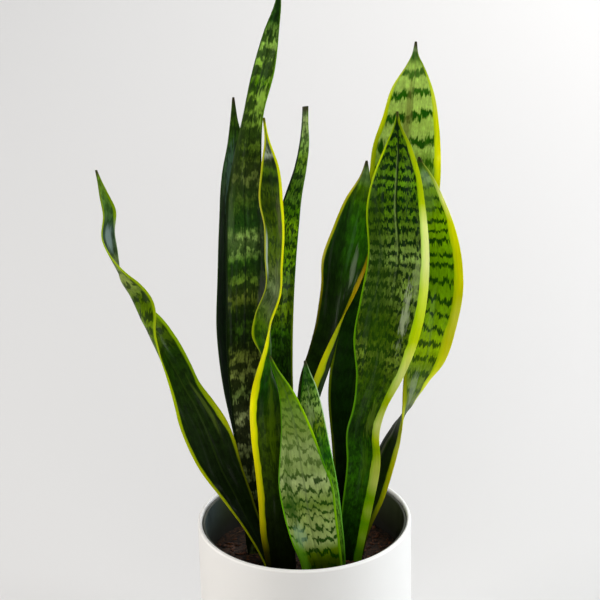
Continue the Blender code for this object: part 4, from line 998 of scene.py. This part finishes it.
def leaf_material(name, look, to_run, length, seed):
    """The whole skin of one leaf; to_run turns a height into millimetres along the blade."""
    material, tree, shader = new_material(name + "_skin")
    spots = blade_spots(tree)
    place = spots["place"]
    share = maths(tree, "DIVIDE", place["Along mm"], length)
    bands = leaf_bands(tree, look, spots, seed)
    kinds = ("wide", "fine", "clouds", "specks")
    wide, fine, clouds, specks = (marks(tree, place, kind, seed) for kind in kinds)

    def by_height(stops, strengths=False):
        """Colour ramp along the leaf; the strength, if there is one, is the third number of each stop."""
        return colour_ramp(tree, share, [
            (to_run(stop[0]) / length, (*paint(*stop[1])[:3], stop[2] if strengths else 1.0))
            for stop in stops
        ])

    # Ground and dark colours change with height as the leaf is lit: painted shade low down and where the leaf
    # turns from the light, with a few stops of painted sheen.
    dark_colour, dark_strength = by_height(look["dark"], strengths=True)
    body = by_height(look["ground"])[0]
    body = blend(tree, maths(tree, "MULTIPLY", bands, dark_strength), body, dark_colour)
    body = blend(tree, 1.0, body, grey(tree, leaf_tint(tree, look, wide, fine, clouds, specks)), "MULTIPLY")

    # The line down the middle is painted: dark as shade in the crease on most leaves, pale as a highlight on
    # a few.
    rib_colour, rib_strength = by_height(look["rib"], strengths=True)
    rib = step_up(tree, maths(tree, "ABSOLUTE", place["Across mm"]), 1.0, 0.3)
    body = blend(tree, maths(tree, "MULTIPLY", rib, rib_strength), body, rib_colour)

    # Ovals of painted shade and painted sheen, with a few changes of tone.
    for number, (height, across, reach, reach_across, colour, strength, ragged) in enumerate(look["patches"]):
        mask = use_group(tree, patch, {
            **place, "Across": spots["across"], "Middle across": across, "Middle along": to_run(height),
            "Reach across": reach_across, "Reach along": reach, "Ragged": ragged,
            "Seed": seed + PATCH_STEP + number,
        }).outputs[0]
        body = blend(tree, maths(tree, "MULTIPLY", mask, strength), body, paint(*colour))

    # Borders: yellow where the leaf has its own margin; dark stretches are painted edge shade, and nearly
    # white stops are painted highlight.
    for key, step in BORDER_STEPS:
        edge = use_group(tree, border, {
            "From edge mm": spots["from_" + key], "Along mm": place["Along mm"],
            "Width": spots[key + "_width"], "Waver": 0.14, "Softness": 0.45, "Seed": seed + step,
        })
        shade = maths(tree, "MULTIPLY", maths(tree, "MULTIPLY_ADD", fine, 0.14, 0.93),
                      maths(tree, "MULTIPLY_ADD", wide, 0.16, 0.92))
        colour = blend(tree, 1.0, by_height(look[key])[0], grey(tree, shade), "MULTIPLY")
        inner = blend(tree, 1.0, colour, paint(206, 232, 180), "MULTIPLY")
        body = blend(tree, edge.outputs["Mask"], body, blend(tree, edge.outputs["Outer"], inner, colour))

    lively = {"Saturation": 1.08, "Value": 1.09, "Color": body}
    body = add(tree, "ShaderNodeHueSaturation", lively).outputs[0]
    dry = step_up(tree, place["Along mm"], length - DRY_TIP_FROM, length - DRY_TIP_FULL)
    body = blend(tree, maths(tree, "MULTIPLY", dry, 0.8), body, paint(54, 44, 30))
    gloss, relief = leaf_finish(tree, shader, place, bands, wide, fine, seed)
    dress(tree, shader, body, gloss, relief, 0.35, 0.3 * MM)
    return material


# %% Make the leaves
BORDER_LIMIT = 0.84
BANDS_BEYOND = 12


def band_count(run, marks_up):
    """Counts bands along the leaf: a whole number at each mark, evenly in between and beyond both ends."""
    first, last = marks_up[1] - marks_up[0], marks_up[-1] - marks_up[-2]
    before = marks_up[0] - first * np.arange(BANDS_BEYOND, 0, -1)
    after = marks_up[-1] + last * np.arange(1, BANDS_BEYOND + 1)
    places = np.concatenate([before, marks_up, after])
    return np.interp(run, places, np.arange(len(places)) - float(BANDS_BEYOND))


def border_widths(run, half, look, to_run):
    """Widths of the left and right border at each point, never more than a share of the half width."""
    pair = []
    for key in ("left", "right"):
        places = [to_run(stop[0]) for stop in look[key]]
        widths = np.interp(run, places, [stop[2] for stop in look[key]])
        pair.append(np.minimum(widths, BORDER_LIMIT * half))
    return np.stack([pair[0], pair[1], np.zeros_like(run)], axis=-1)


for number, (name, rows) in enumerate(LEAF_SECTIONS.items()):
    look = LEAF_LOOKS[name]
    thick_foot, thick_tip, ripple = look["body"]
    skin = blade_skin(rows, thick_foot, thick_tip, ripple, seed=number)
    length = float(skin["centre_run"][-1])

    def to_run(height, heights=skin["centre_height"], runs=skin["centre_run"]):
        """Millimetres along the blade at a height."""
        return float(np.interp(height, heights, runs))

    material = leaf_material(name, look, to_run, length, seed=10.0 * number)
    leaf = ring_piece(name + "_blade", skin["points"], material)
    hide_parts(name)
    blade = np.stack([skin["across"], skin["along"], skin["half"]], axis=-1).reshape(-1, 3)
    ends = np.array([[0.0, 0.0, 1.0], [0.0, length, 1.0]])
    blade = np.concatenate([blade, ends])
    put_values(leaf, "blade", "FLOAT_VECTOR", blade)
    run, across_mm = blade[:, 1], blade[:, 0] * blade[:, 2]
    marks_up = np.array([to_run(height) for height in look["bands"]])
    tilt, bend = look.get("slant", (0.0, 0.0))
    slanted = run + tilt * across_mm + bend * np.abs(across_mm)
    put_values(leaf, "band", "FLOAT", band_count(slanted, marks_up))
    put_values(leaf, "borders", "FLOAT_VECTOR", border_widths(run, blade[:, 2], look, to_run))


# %% [markdown]
# ## The white pot
#
# The pot is round, so half a section tells everything: up the inside, over the round lip, down the outside
# and in along the underside. Turning that section in a full circle makes the wall. The frame's pot has 84
# flat sides, enough to measure but visible in a highlight, so this one has 256 and a finer lip.

# %% Turned pieces
TURNS = 256
HUB = 5.0 * MM


def arc(centre_r, centre_z, radius, start, end, steps):
    """Points (r, z) on part of a circle, angles in degrees."""
    angle = np.radians(np.linspace(start, end, steps + 1))
    return np.stack([centre_r + radius * np.cos(angle), centre_z + radius * np.sin(angle)], axis=1)


def line(start, end, steps):
    """Evenly spaced points (r, z) from start to just short of end."""
    share = np.linspace(0.0, 1.0, steps, endpoint=False)[:, None]
    return np.array(start) + share * (np.array(end) - np.array(start))


def turned(profile):
    """Rings (r cos q, r sin q, z) for every point (r, z) of a section and every angle q."""
    angle = np.linspace(0.0, 2.0 * math.pi, TURNS, endpoint=False)
    r, z = profile[:, 0][:, None], profile[:, 1][:, None]
    z = np.broadcast_to(z, (len(profile), TURNS))
    return np.stack([r * np.cos(angle), r * np.sin(angle), z], axis=-1)


print("a turned piece has", TURNS, "sides")

# %% Section of the white pot
POT_INSIDE = POT_RADIUS - POT_WALL
POT_LIP = POT_WALL / 2.0
INNER_WALL_FOOT = 10.0 * MM
OUTER_WALL_TOP = POT_HEIGHT - 2.5 * MM
UNDERSIDE_RADIUS = POT_RADIUS - 4.0 * MM
pot_profile = np.concatenate([
    line((HUB, POT_FLOOR), (POT_INSIDE - POT_WALL, POT_FLOOR), 12),
    arc(POT_INSIDE - POT_WALL, POT_FLOOR + POT_WALL, POT_WALL, -90.0, 0.0, 8),
    line((POT_INSIDE, INNER_WALL_FOOT), (POT_INSIDE, POT_HEIGHT - POT_LIP), 20),
    arc(POT_RADIUS - POT_LIP, POT_HEIGHT - POT_LIP, POT_LIP, 180.0, 0.0, 16),
    line((POT_RADIUS, OUTER_WALL_TOP), (POT_RADIUS, POT_FOOT_ROUND), 36),
    arc(POT_RADIUS - POT_FOOT_ROUND, POT_FOOT_ROUND, POT_FOOT_ROUND, 0.0, -90.0, 8),
    line((UNDERSIDE_RADIUS, 0.0), (HUB, 0.0), 12),
])
print("pot section:", len(pot_profile), "points")

# %% [markdown]
# ## A satin glaze
#
# The pot is white but not flat white: its satin gloss and its tone drift over a few centimetres, and it has a
# faint grain like an eggshell. Both are noises on the object's own coordinates. The top of the lip is painted
# whiter, a painted highlight where the rounded lip catches the light from above.

# %% Pot material and piece
def satin_glaze():
    """White glaze with drifting gloss, an eggshell grain and a painted highlight along the top of the lip."""
    material, tree, shader = new_material("white_satin_glaze")
    where = object_place(tree)
    drift = noise(tree, where, 22.0, 3.0)
    grain = noise(tree, where, 1400.0, 2.0)
    height = add(tree, "ShaderNodeSeparateXYZ", {0: where}).outputs[2]
    # Painted highlight: the top of the lip is painted whiter, as if lit from above.
    lip_highlight = step_up(tree, height, POT_HEIGHT - 2.6 * MM, POT_HEIGHT - 0.9 * MM)
    glaze = blend(tree, drift, paint(236, 235, 232), paint(231, 230, 227))
    glaze = blend(tree, lip_highlight, glaze, paint(252, 251, 248))
    gloss = maths(tree, "MULTIPLY_ADD", drift, 0.16, 0.30)
    gloss = maths(tree, "MULTIPLY_ADD", grain, 0.06, gloss)
    relief = maths(tree, "MULTIPLY_ADD", grain, 0.4, drift)
    dress(tree, shader, glaze, gloss, relief, 0.25, 0.2 * MM)
    return material


pot = ring_piece("white_pot", turned(pot_profile), satin_glaze())
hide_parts("pot")

# %% [markdown]
# ## The dark grow pot
#
# Inside the white pot stands the thin plastic pot that the plant was bought in. Its wall tapers, and its lip
# fills the white pot's mouth. It is satin plastic of a very dark green, dusty where the soil has touched it.
# Its colour also holds painted light: it is painted paler towards the lip, where more light reaches into the
# pot, it carries a painted blue-grey reflection of the left window on the upper left, and the lip is a paler
# grey.

# %% Grow pot section
GROW_BOTTOM = POT_FLOOR + GAP
GROW_TOP = POT_HEIGHT - GROW_LIP_BELOW_RIM
GROW_NECK = GROW_TOP - GROW_LIP_HEIGHT
LIP_OUT = POT_INSIDE - GAP
LIP_IN = GROW_NECK_RADIUS - GROW_WALL
LIP_ROUND = (LIP_OUT - LIP_IN) / 2.0
LIP_STEP = 0.4 * MM


def grow_wall_radius(height):
    """Outer radius of the tapering wall: it grows in a straight line from the bottom to the neck."""
    share = (height - GROW_BOTTOM) / (GROW_NECK - GROW_BOTTOM)
    return GROW_BOTTOM_RADIUS + share * (GROW_NECK_RADIUS - GROW_BOTTOM_RADIUS)


floor_top = GROW_BOTTOM + GROW_FLOOR
grow_profile = np.concatenate([
    line((HUB, floor_top), (grow_wall_radius(floor_top) - GROW_WALL, floor_top), 10),
    line((grow_wall_radius(floor_top) - GROW_WALL, floor_top), (LIP_IN, GROW_TOP - LIP_ROUND), 60),
    arc(LIP_OUT - LIP_ROUND, GROW_TOP - LIP_ROUND, LIP_ROUND, 180.0, 0.0, 14),
    line((LIP_OUT, GROW_TOP - LIP_ROUND - LIP_STEP), (LIP_OUT, GROW_NECK), 6),
    line((LIP_OUT, GROW_NECK), (GROW_NECK_RADIUS, GROW_NECK - GROW_LIP_SLOPE), 4),
    line((GROW_NECK_RADIUS, GROW_NECK - GROW_LIP_SLOPE), (GROW_BOTTOM_RADIUS, GROW_BOTTOM), 30),
    line((GROW_BOTTOM_RADIUS, GROW_BOTTOM), (HUB, GROW_BOTTOM), 10),
])
print("grow pot section:", len(grow_profile), "points")

# %% Grow pot material and piece
def dark_plastic():
    """Dark plastic with turning lines and a drifting gloss, dusty at the soil, painted paler towards the lip
    as if lit, with a painted reflection of the left window.
    """
    material, tree, shader = new_material("dark_satin_plastic")
    where = object_place(tree)
    sideways, _depth, height = add(tree, "ShaderNodeSeparateXYZ", {0: where}).outputs
    flat = add(tree, "ShaderNodeMapping", {"Vector": where, "Scale": (12.0, 12.0, 1600.0)})
    turning_lines = noise(tree, flat.outputs[0], 1.0, 2.0)
    cloud = noise(tree, where, 60.0, 4.0)

    dust = step_up(tree, maths(tree, "MULTIPLY_ADD", cloud, 0.02, height), 0.140, 0.124)
    # Painted light: the wall is painted paler towards the lip, where more light reaches into the pot.
    lit_towards_lip = step_up(tree, height, 0.110, 0.150)
    # Painted reflection: a blue-grey sheen from the left window, painted on the upper left of the wall.
    left_window_reflection = maths(tree, "MULTIPLY", lit_towards_lip, step_up(tree, sideways, -0.058, -0.074))
    colour = blend(tree, lit_towards_lip, paint(20, 22, 14), blend(tree, cloud, paint(58, 68, 42), paint(66, 76, 50)))
    colour = blend(tree, maths(tree, "MULTIPLY", left_window_reflection, 0.8), colour, paint(72, 88, 94))
    # The lip itself is a paler grey.
    colour = blend(tree, step_up(tree, height, 0.1462, 0.1478), colour, paint(76, 80, 70))
    colour = blend(tree, maths(tree, "MULTIPLY", dust, 0.35), colour, paint(34, 26, 16))

    gloss = maths(tree, "MULTIPLY_ADD", cloud, 0.18, 0.30)
    gloss = maths(tree, "MULTIPLY_ADD", dust, 0.25, gloss)
    gloss = maths(tree, "MULTIPLY_ADD", step_up(tree, height, 0.1455, 0.1475), 0.35, gloss)
    relief = maths(tree, "MULTIPLY_ADD", cloud, 0.6, turning_lines)
    dress(tree, shader, colour, gloss, relief, 0.25, 0.2 * MM)
    return material


liner = ring_piece("dark_grow_pot", turned(grow_profile), dark_plastic())
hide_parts("grow_pot")

# %% [markdown]
# ## Soil
#
# Potting soil is a mat of dark crumbs. Its surface here is a low mound whose height is shaken by a few layers
# of smooth noise, each finer and weaker than the one before. Over that lie loose bits that catch the light:
# bark chips, tan fibres and a pale bead of perlite. They are small closed shapes joined into one mesh a kind.

# %% Soil surface
SOIL_RINGS = 90
SOIL_BOTTOM = floor_top + GAP
SOIL_EDGE = grow_wall_radius(SOIL_EDGE_HEIGHT) - GROW_WALL - GAP
SOIL_BASE = grow_wall_radius(SOIL_BOTTOM) - GROW_WALL - GAP
SOIL_SIDE_TOP = SOIL_EDGE_HEIGHT - 2.0 * MM


def bumpy(x, y, seed, sizes=(9.0, 4.5, 2.2, 1.3)):
    """A rough surface between about -1 and 1: products of sines at several sizes (mm) and directions."""
    rng = np.random.default_rng(seed)
    total = np.zeros_like(x)
    weight = 0.0
    for size in sizes:
        turn, one, two = rng.uniform(0.0, 2.0 * math.pi, 3)
        u = (x * math.cos(turn) + y * math.sin(turn)) / (size * MM)
        v = (-x * math.sin(turn) + y * math.cos(turn)) / (size * MM)
        total += size * np.sin(u + one + 1.3 * np.sin(0.7 * v)) * np.sin(v + two + 1.1 * np.sin(0.8 * u))
        weight += size
    return total / weight


def soil_top(x, y):
    """Height of the soil: edge + rise (1 - (r / edge radius)^2) + roughness x bumps."""
    share = np.clip(np.hypot(x, y) / SOIL_EDGE, 0.0, 1.0)
    return SOIL_EDGE_HEIGHT + SOIL_RISE * (1.0 - share**2) + SOIL_ROUGHNESS * bumpy(x, y, seed=5)


angle = np.linspace(0.0, 2.0 * math.pi, TURNS, endpoint=False)
reach = SOIL_EDGE * np.linspace(0.02, 1.0, SOIL_RINGS) ** 0.8
x, y = np.outer(reach, np.cos(angle)), np.outer(reach, np.sin(angle))
top = np.stack([x, y, soil_top(x, y)], axis=-1)
side = turned(line((SOIL_EDGE, SOIL_SIDE_TOP), (SOIL_BASE, SOIL_BOTTOM), 14))
under = turned(line((SOIL_BASE, SOIL_BOTTOM), (HUB, SOIL_BOTTOM), 6))
soil_rings = np.concatenate([top, side, under])
print("soil heights:", top[..., 2].min() / MM, "to", top[..., 2].max() / MM, "mm")

# %% Soil material and piece
def soil_material(name, light, dark, scale, rough):
    """Crumbly matter: two browns by a noise, pits by cells painted darker as shade, and a strong fine bump.
    """
    material, tree, shader = new_material(name)
    where = object_place(tree)
    cloud = noise(tree, where, scale, 6.0, 0.7)
    crumbs = add(tree, "ShaderNodeTexVoronoi", {"Vector": where, "Scale": scale * 2.4}).outputs[0]
    colour = blend(tree, step_up(tree, cloud, 0.38, 0.66), dark, light)
    # Painted shade: the pits of the bump, at the middle of each cell, are painted darker.
    colour = blend(tree, step_up(tree, crumbs, 0.25, 0.0), colour, dark)
    gloss = maths(tree, "MULTIPLY_ADD", cloud, -0.2, rough)
    relief = maths(tree, "MULTIPLY_ADD", crumbs, 0.25, cloud)
    dress(tree, shader, colour, gloss, relief, 0.8, 1.0 * MM)
    return material


earth = soil_material("dark_potting_soil", paint(78, 48, 22), paint(14, 10, 5), 420.0, 1.0)
soil = ring_piece("soil_mound", soil_rings, earth)
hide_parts("soil")

# %% [markdown]
# ## Loose bits on the soil
#
# A chip is a flattened, lopsided ball with 18 corners on three rings. All chips are placed at once: an array
# of places, an array of sizes and an array of turns are combined with the base shape in one step. A fibre is
# a thin tube along a gentle curve, made the same way for the whole handful.

# %% Many small lumps
LUMP_SIDES = 6
LUMP_LEVELS = (-0.75, 0.0, 0.75)


def many_lumps(places, sizes, turns, tilts, seed):
    """One mesh of many small lumps: point = place + turn x tilt x (size x jittered ball point)."""
    rng = np.random.default_rng(seed)
    ring_angle = np.linspace(0.0, 2.0 * math.pi, LUMP_SIDES, endpoint=False)
    levels = np.array(LUMP_LEVELS)
    flat = np.sqrt(1.0 - levels**2)
    shape = (len(levels), LUMP_SIDES)
    ball = np.stack([np.outer(flat, np.cos(ring_angle)), np.outer(flat, np.sin(ring_angle)),
                     np.broadcast_to(levels[:, None], shape)], axis=-1)
    lumps = ball[None] * sizes[:, None, None, :] * rng.uniform(0.7, 1.2, (len(places), *shape, 1))
    ct, st, cl, sl = np.cos(turns), np.sin(turns), np.cos(tilts), np.sin(tilts)
    spin = np.stack([np.stack([ct, -st * cl, st * sl], -1), np.stack([st, ct * cl, -ct * sl], -1),
                     np.stack([0 * ct, sl, cl], -1)], axis=1)
    return np.einsum("nij,nrkj->nrki", spin, lumps) + places[:, None, None, :]


def join_rings(batches):
    """Points and faces of many closed grids (ring, around, xyz) of one size, joined in one mesh."""
    made = [closed_rings(rings) for rings in batches]
    size = len(made[0][0])
    points = np.concatenate([points for points, _quads, _tris in made])
    faces = []
    for number, (_points, quads, tris) in enumerate(made):
        faces += (quads + number * size).tolist() + (tris + number * size).tolist()
    return points, faces


# %% Bark chips and perlite
CHIPS = 420
CHIP_LIFT = 0.3 * MM
BEADS = 9
BEAD_LIFT = 0.9 * MM
ANY_TURN = 6.28
MOST_TILT = 0.5
rng = np.random.default_rng(11)


def scatter(name, x, y, sizes, lift, material, seed):
    """Lumps laid on the soil at each x and y, turned and tilted at random, as one piece."""
    places = np.stack([x, y, soil_top(x, y) + lift], axis=1)
    turns = rng.uniform(0.0, ANY_TURN, len(x))
    tilts = rng.uniform(-MOST_TILT, MOST_TILT, len(x))
    points, faces = join_rings(many_lumps(places, sizes, turns, tilts, seed))
    new_piece(name, points, faces, material)


spread = SOIL_EDGE * 0.96 * np.sqrt(rng.uniform(0.0, 1.0, CHIPS))
turn = rng.uniform(0.0, 2.0 * math.pi, CHIPS)
x, y = spread * np.cos(turn), spread * np.sin(turn)
long = rng.uniform(1.2, 3.6, CHIPS) * MM
sizes = np.stack([long, long * rng.uniform(0.4, 0.8, CHIPS), long * rng.uniform(0.18, 0.4, CHIPS)], axis=1)
bark = soil_material("bark", paint(124, 70, 32), paint(30, 18, 10), 420.0, 0.9)
scatter("bark_chips", x, y, sizes, CHIP_LIFT, bark, seed=12)

x = np.concatenate([[-46.0 * MM], rng.uniform(-60.0, 60.0, BEADS - 1) * MM])
y = np.concatenate([[-24.0 * MM], rng.uniform(-20.0, 60.0, BEADS - 1) * MM * 0.7])
sizes = np.full((BEADS, 3), 1.0 * MM) * rng.uniform(0.8, 1.5, (BEADS, 1))
perlite = soil_material("perlite", paint(196, 184, 160), paint(140, 126, 100), 900.0, 0.95)
scatter("perlite_beads", x, y, sizes, BEAD_LIFT, perlite, seed=13)

# %% Fibres and rootlets
FIBRES = 70
STEPS = 14
FIBRE_RADIUS = 0.28 * MM


def thin_tubes(paths, radii, around=6):
    """Tubes along curves: point = path + radius (cos q side + sin q up), side level and across the path."""
    ahead = np.gradient(paths, axis=1)
    side = np.stack([-ahead[..., 1], ahead[..., 0], np.zeros(ahead.shape[:2])], axis=-1)
    side /= np.linalg.norm(side, axis=-1, keepdims=True) + 1e-12
    up = np.cross(side, ahead)
    up /= np.linalg.norm(up, axis=-1, keepdims=True) + 1e-12
    q = np.linspace(0.0, 2.0 * math.pi, around, endpoint=False)[None, None, :, None]
    circle = side[:, :, None, :] * np.cos(q) + up[:, :, None, :] * np.sin(q)
    return paths[:, :, None, :] + circle * radii[:, :, None, None]


share = np.linspace(0.0, 1.0, STEPS)[None, :]
start = rng.uniform(-1.0, 1.0, (FIBRES, 2)) * SOIL_EDGE * 0.66
turn = rng.uniform(0.0, 2.0 * math.pi, (FIBRES, 1)) + rng.uniform(-1.6, 1.6, (FIBRES, 1)) * share
length = rng.uniform(6.0, 18.0, (FIBRES, 1)) * MM
x = start[:, :1] + np.cumsum(np.cos(turn), axis=1) * length / STEPS
y = start[:, 1:] + np.cumsum(np.sin(turn), axis=1) * length / STEPS
lift = (0.5 + 1.2 * np.sin(math.pi * share) * rng.uniform(0.0, 1.0, (FIBRES, 1))) * MM
paths = np.stack([x, y, soil_top(x, y) + lift], axis=-1)
radii = FIBRE_RADIUS * rng.uniform(0.6, 1.3, (FIBRES, 1)) * (1.0 - 0.6 * share)
points, faces = join_rings(thin_tubes(paths, radii))
fibre = soil_material("tan_fibre", paint(142, 104, 62), paint(84, 56, 32), 700.0, 0.85)
new_piece("fibres", points, faces, fibre)

# %% [markdown]
# ## Studio
#
# The photograph has a pale seamless ground, a warm soft light at the left and a stronger, cooler one at the
# right. A ceiling light and a fill from the front soften the shadows, two far lights brighten the ground
# behind the plant, and three large room lights, outside the picture, brighten the ground that the other views
# see. The air gives almost no light of its own, and the camera alone sees it as a pale grey. The camera looks
# down at about 24 degrees from 2 m away through a long lens, so the pot's rim is a narrow oval and the leaves
# hardly lean. A turn of 1.3 degrees about the view axis follows the photograph.

# %% Floor
FLOOR_SIZE = 14.0
half = FLOOR_SIZE / 2.0
floor_mesh = bpy.data.meshes.new("studio_floor")
corners = [(-half, -half, 0.0), (half, -half, 0.0), (half, half, 0.0), (-half, half, 0.0)]
floor_mesh.from_pydata(corners, [], [(0, 1, 2, 3)])
floor = bpy.data.objects.new("studio_floor", floor_mesh)
bpy.context.scene.collection.objects.link(floor)
paper, paper_tree, paper_shader = new_material("pale_paper")
fill(paper_tree, paper_shader, {"Base Color": paint(218, 217, 216), "Roughness": 0.9})
floor_mesh.materials.append(paper)
print("floor:", FLOOR_SIZE, "m square")

# %% Lights
WARM = (1.0, 0.95, 0.9)
COOL = (0.9, 0.95, 1.0)
WHITE = (1.0, 1.0, 1.0)


def stand(right, up, back, place):
    """The matrix of a thing at a place; its columns are where its right, its top and its back point."""
    turn = np.eye(4)
    turn[:3, 0], turn[:3, 1], turn[:3, 2], turn[:3, 3] = right, up, back, place
    return Matrix(turn.tolist())


def soft_light(name, place, target, size, power, colour):
    """A square light that faces a point and stays unseen itself; size in metres, power in watts."""
    lamp = bpy.data.lights.new(name, "AREA")
    lamp.shape = "SQUARE"
    lamp.size = size
    lamp.energy = power
    lamp.color = colour
    thing = bpy.data.objects.new(name, lamp)
    back = np.array(place) - np.array(target)
    back /= np.linalg.norm(back)
    right = np.cross((0.0, 0.0, 1.0), back)
    right /= np.linalg.norm(right)
    thing.matrix_world = stand(right, np.cross(back, right), back, place)
    thing.visible_camera = False
    bpy.context.scene.collection.objects.link(thing)


soft_light("left_window", (-1.7, -0.1, 0.65), (0.0, 0.0, 0.3), 1.4, 22.0, WARM)
soft_light("right_window", (1.7, 0.1, 0.8), (0.0, 0.0, 0.3), 1.6, 29.0, COOL)
soft_light("ceiling", (0.9, 0.1, 2.4), (0.8, 0.1, 0.0), 1.6, 16.0, (1.0, 0.98, 0.96))
soft_light("front_fill", (0.1, -2.6, 0.9), (0.0, 0.0, 0.25), 1.8, 26.0, (1.0, 0.99, 0.97))
soft_light("far_right", (1.5, 2.2, 1.4), (0.5, 1.7, 0.0), 1.0, 29.0, WHITE)
soft_light("far_ceiling", (0.4, 2.6, 2.4), (0.3, 2.0, 0.0), 1.6, 38.0, WHITE)
for name, x, y in (("left_room", -1.0, 0.0), ("right_room", 1.0, 0.0), ("front_room", 0.0, -1.0)):
    soft_light(name, (3.0 * x, 3.8 * y, 2.4), (4.9 * x, 5.7 * y, 0.0), 2.4, 75.0, WHITE)
print("lights:", len(bpy.data.lights))

# %% Air
AIR_LIGHT = 0.03
AIR_SEEN = 0.66
world = bpy.data.worlds.new("studio_air")
world.use_nodes = True
net = world.node_tree
seen = add(net, "ShaderNodeLightPath").outputs["Is Camera Ray"]
strength = maths(net, "MULTIPLY_ADD", seen, AIR_SEEN - AIR_LIGHT, AIR_LIGHT)
fill(net, net.nodes["Background"], {"Color": (0.97, 0.975, 0.98, 1.0), "Strength": strength})
bpy.context.scene.world = world
bpy.context.scene.view_settings.view_transform = "Standard"
print("air: gives", AIR_LIGHT, "and is seen as", AIR_SEEN)

# %% Camera
EYE = (0.0004, -1.7509, 1.1166)
LOOK_DOWN = math.radians(24.21)
ROLL = math.radians(1.3)
LENS = 159.0
SENSOR = 36.0
level = np.array([1.0, 0.0, 0.0])
ahead = np.array([0.0, math.cos(LOOK_DOWN), -math.sin(LOOK_DOWN)])
above = np.array([0.0, math.sin(LOOK_DOWN), math.cos(LOOK_DOWN)])
right = math.cos(ROLL) * level - math.sin(ROLL) * above
up = math.sin(ROLL) * level + math.cos(ROLL) * above
camera_data = bpy.data.cameras.new("camera")
camera_data.lens = LENS
camera_data.sensor_width = SENSOR
camera = bpy.data.objects.new("camera", camera_data)
camera.matrix_world = stand(right, up, -ahead, EYE)
bpy.context.scene.collection.objects.link(camera)
bpy.context.scene.camera = camera
print("camera:", round(math.dist(EYE, (0.0, 0.0, POT_HEIGHT)), 3), "m from the pot's rim")
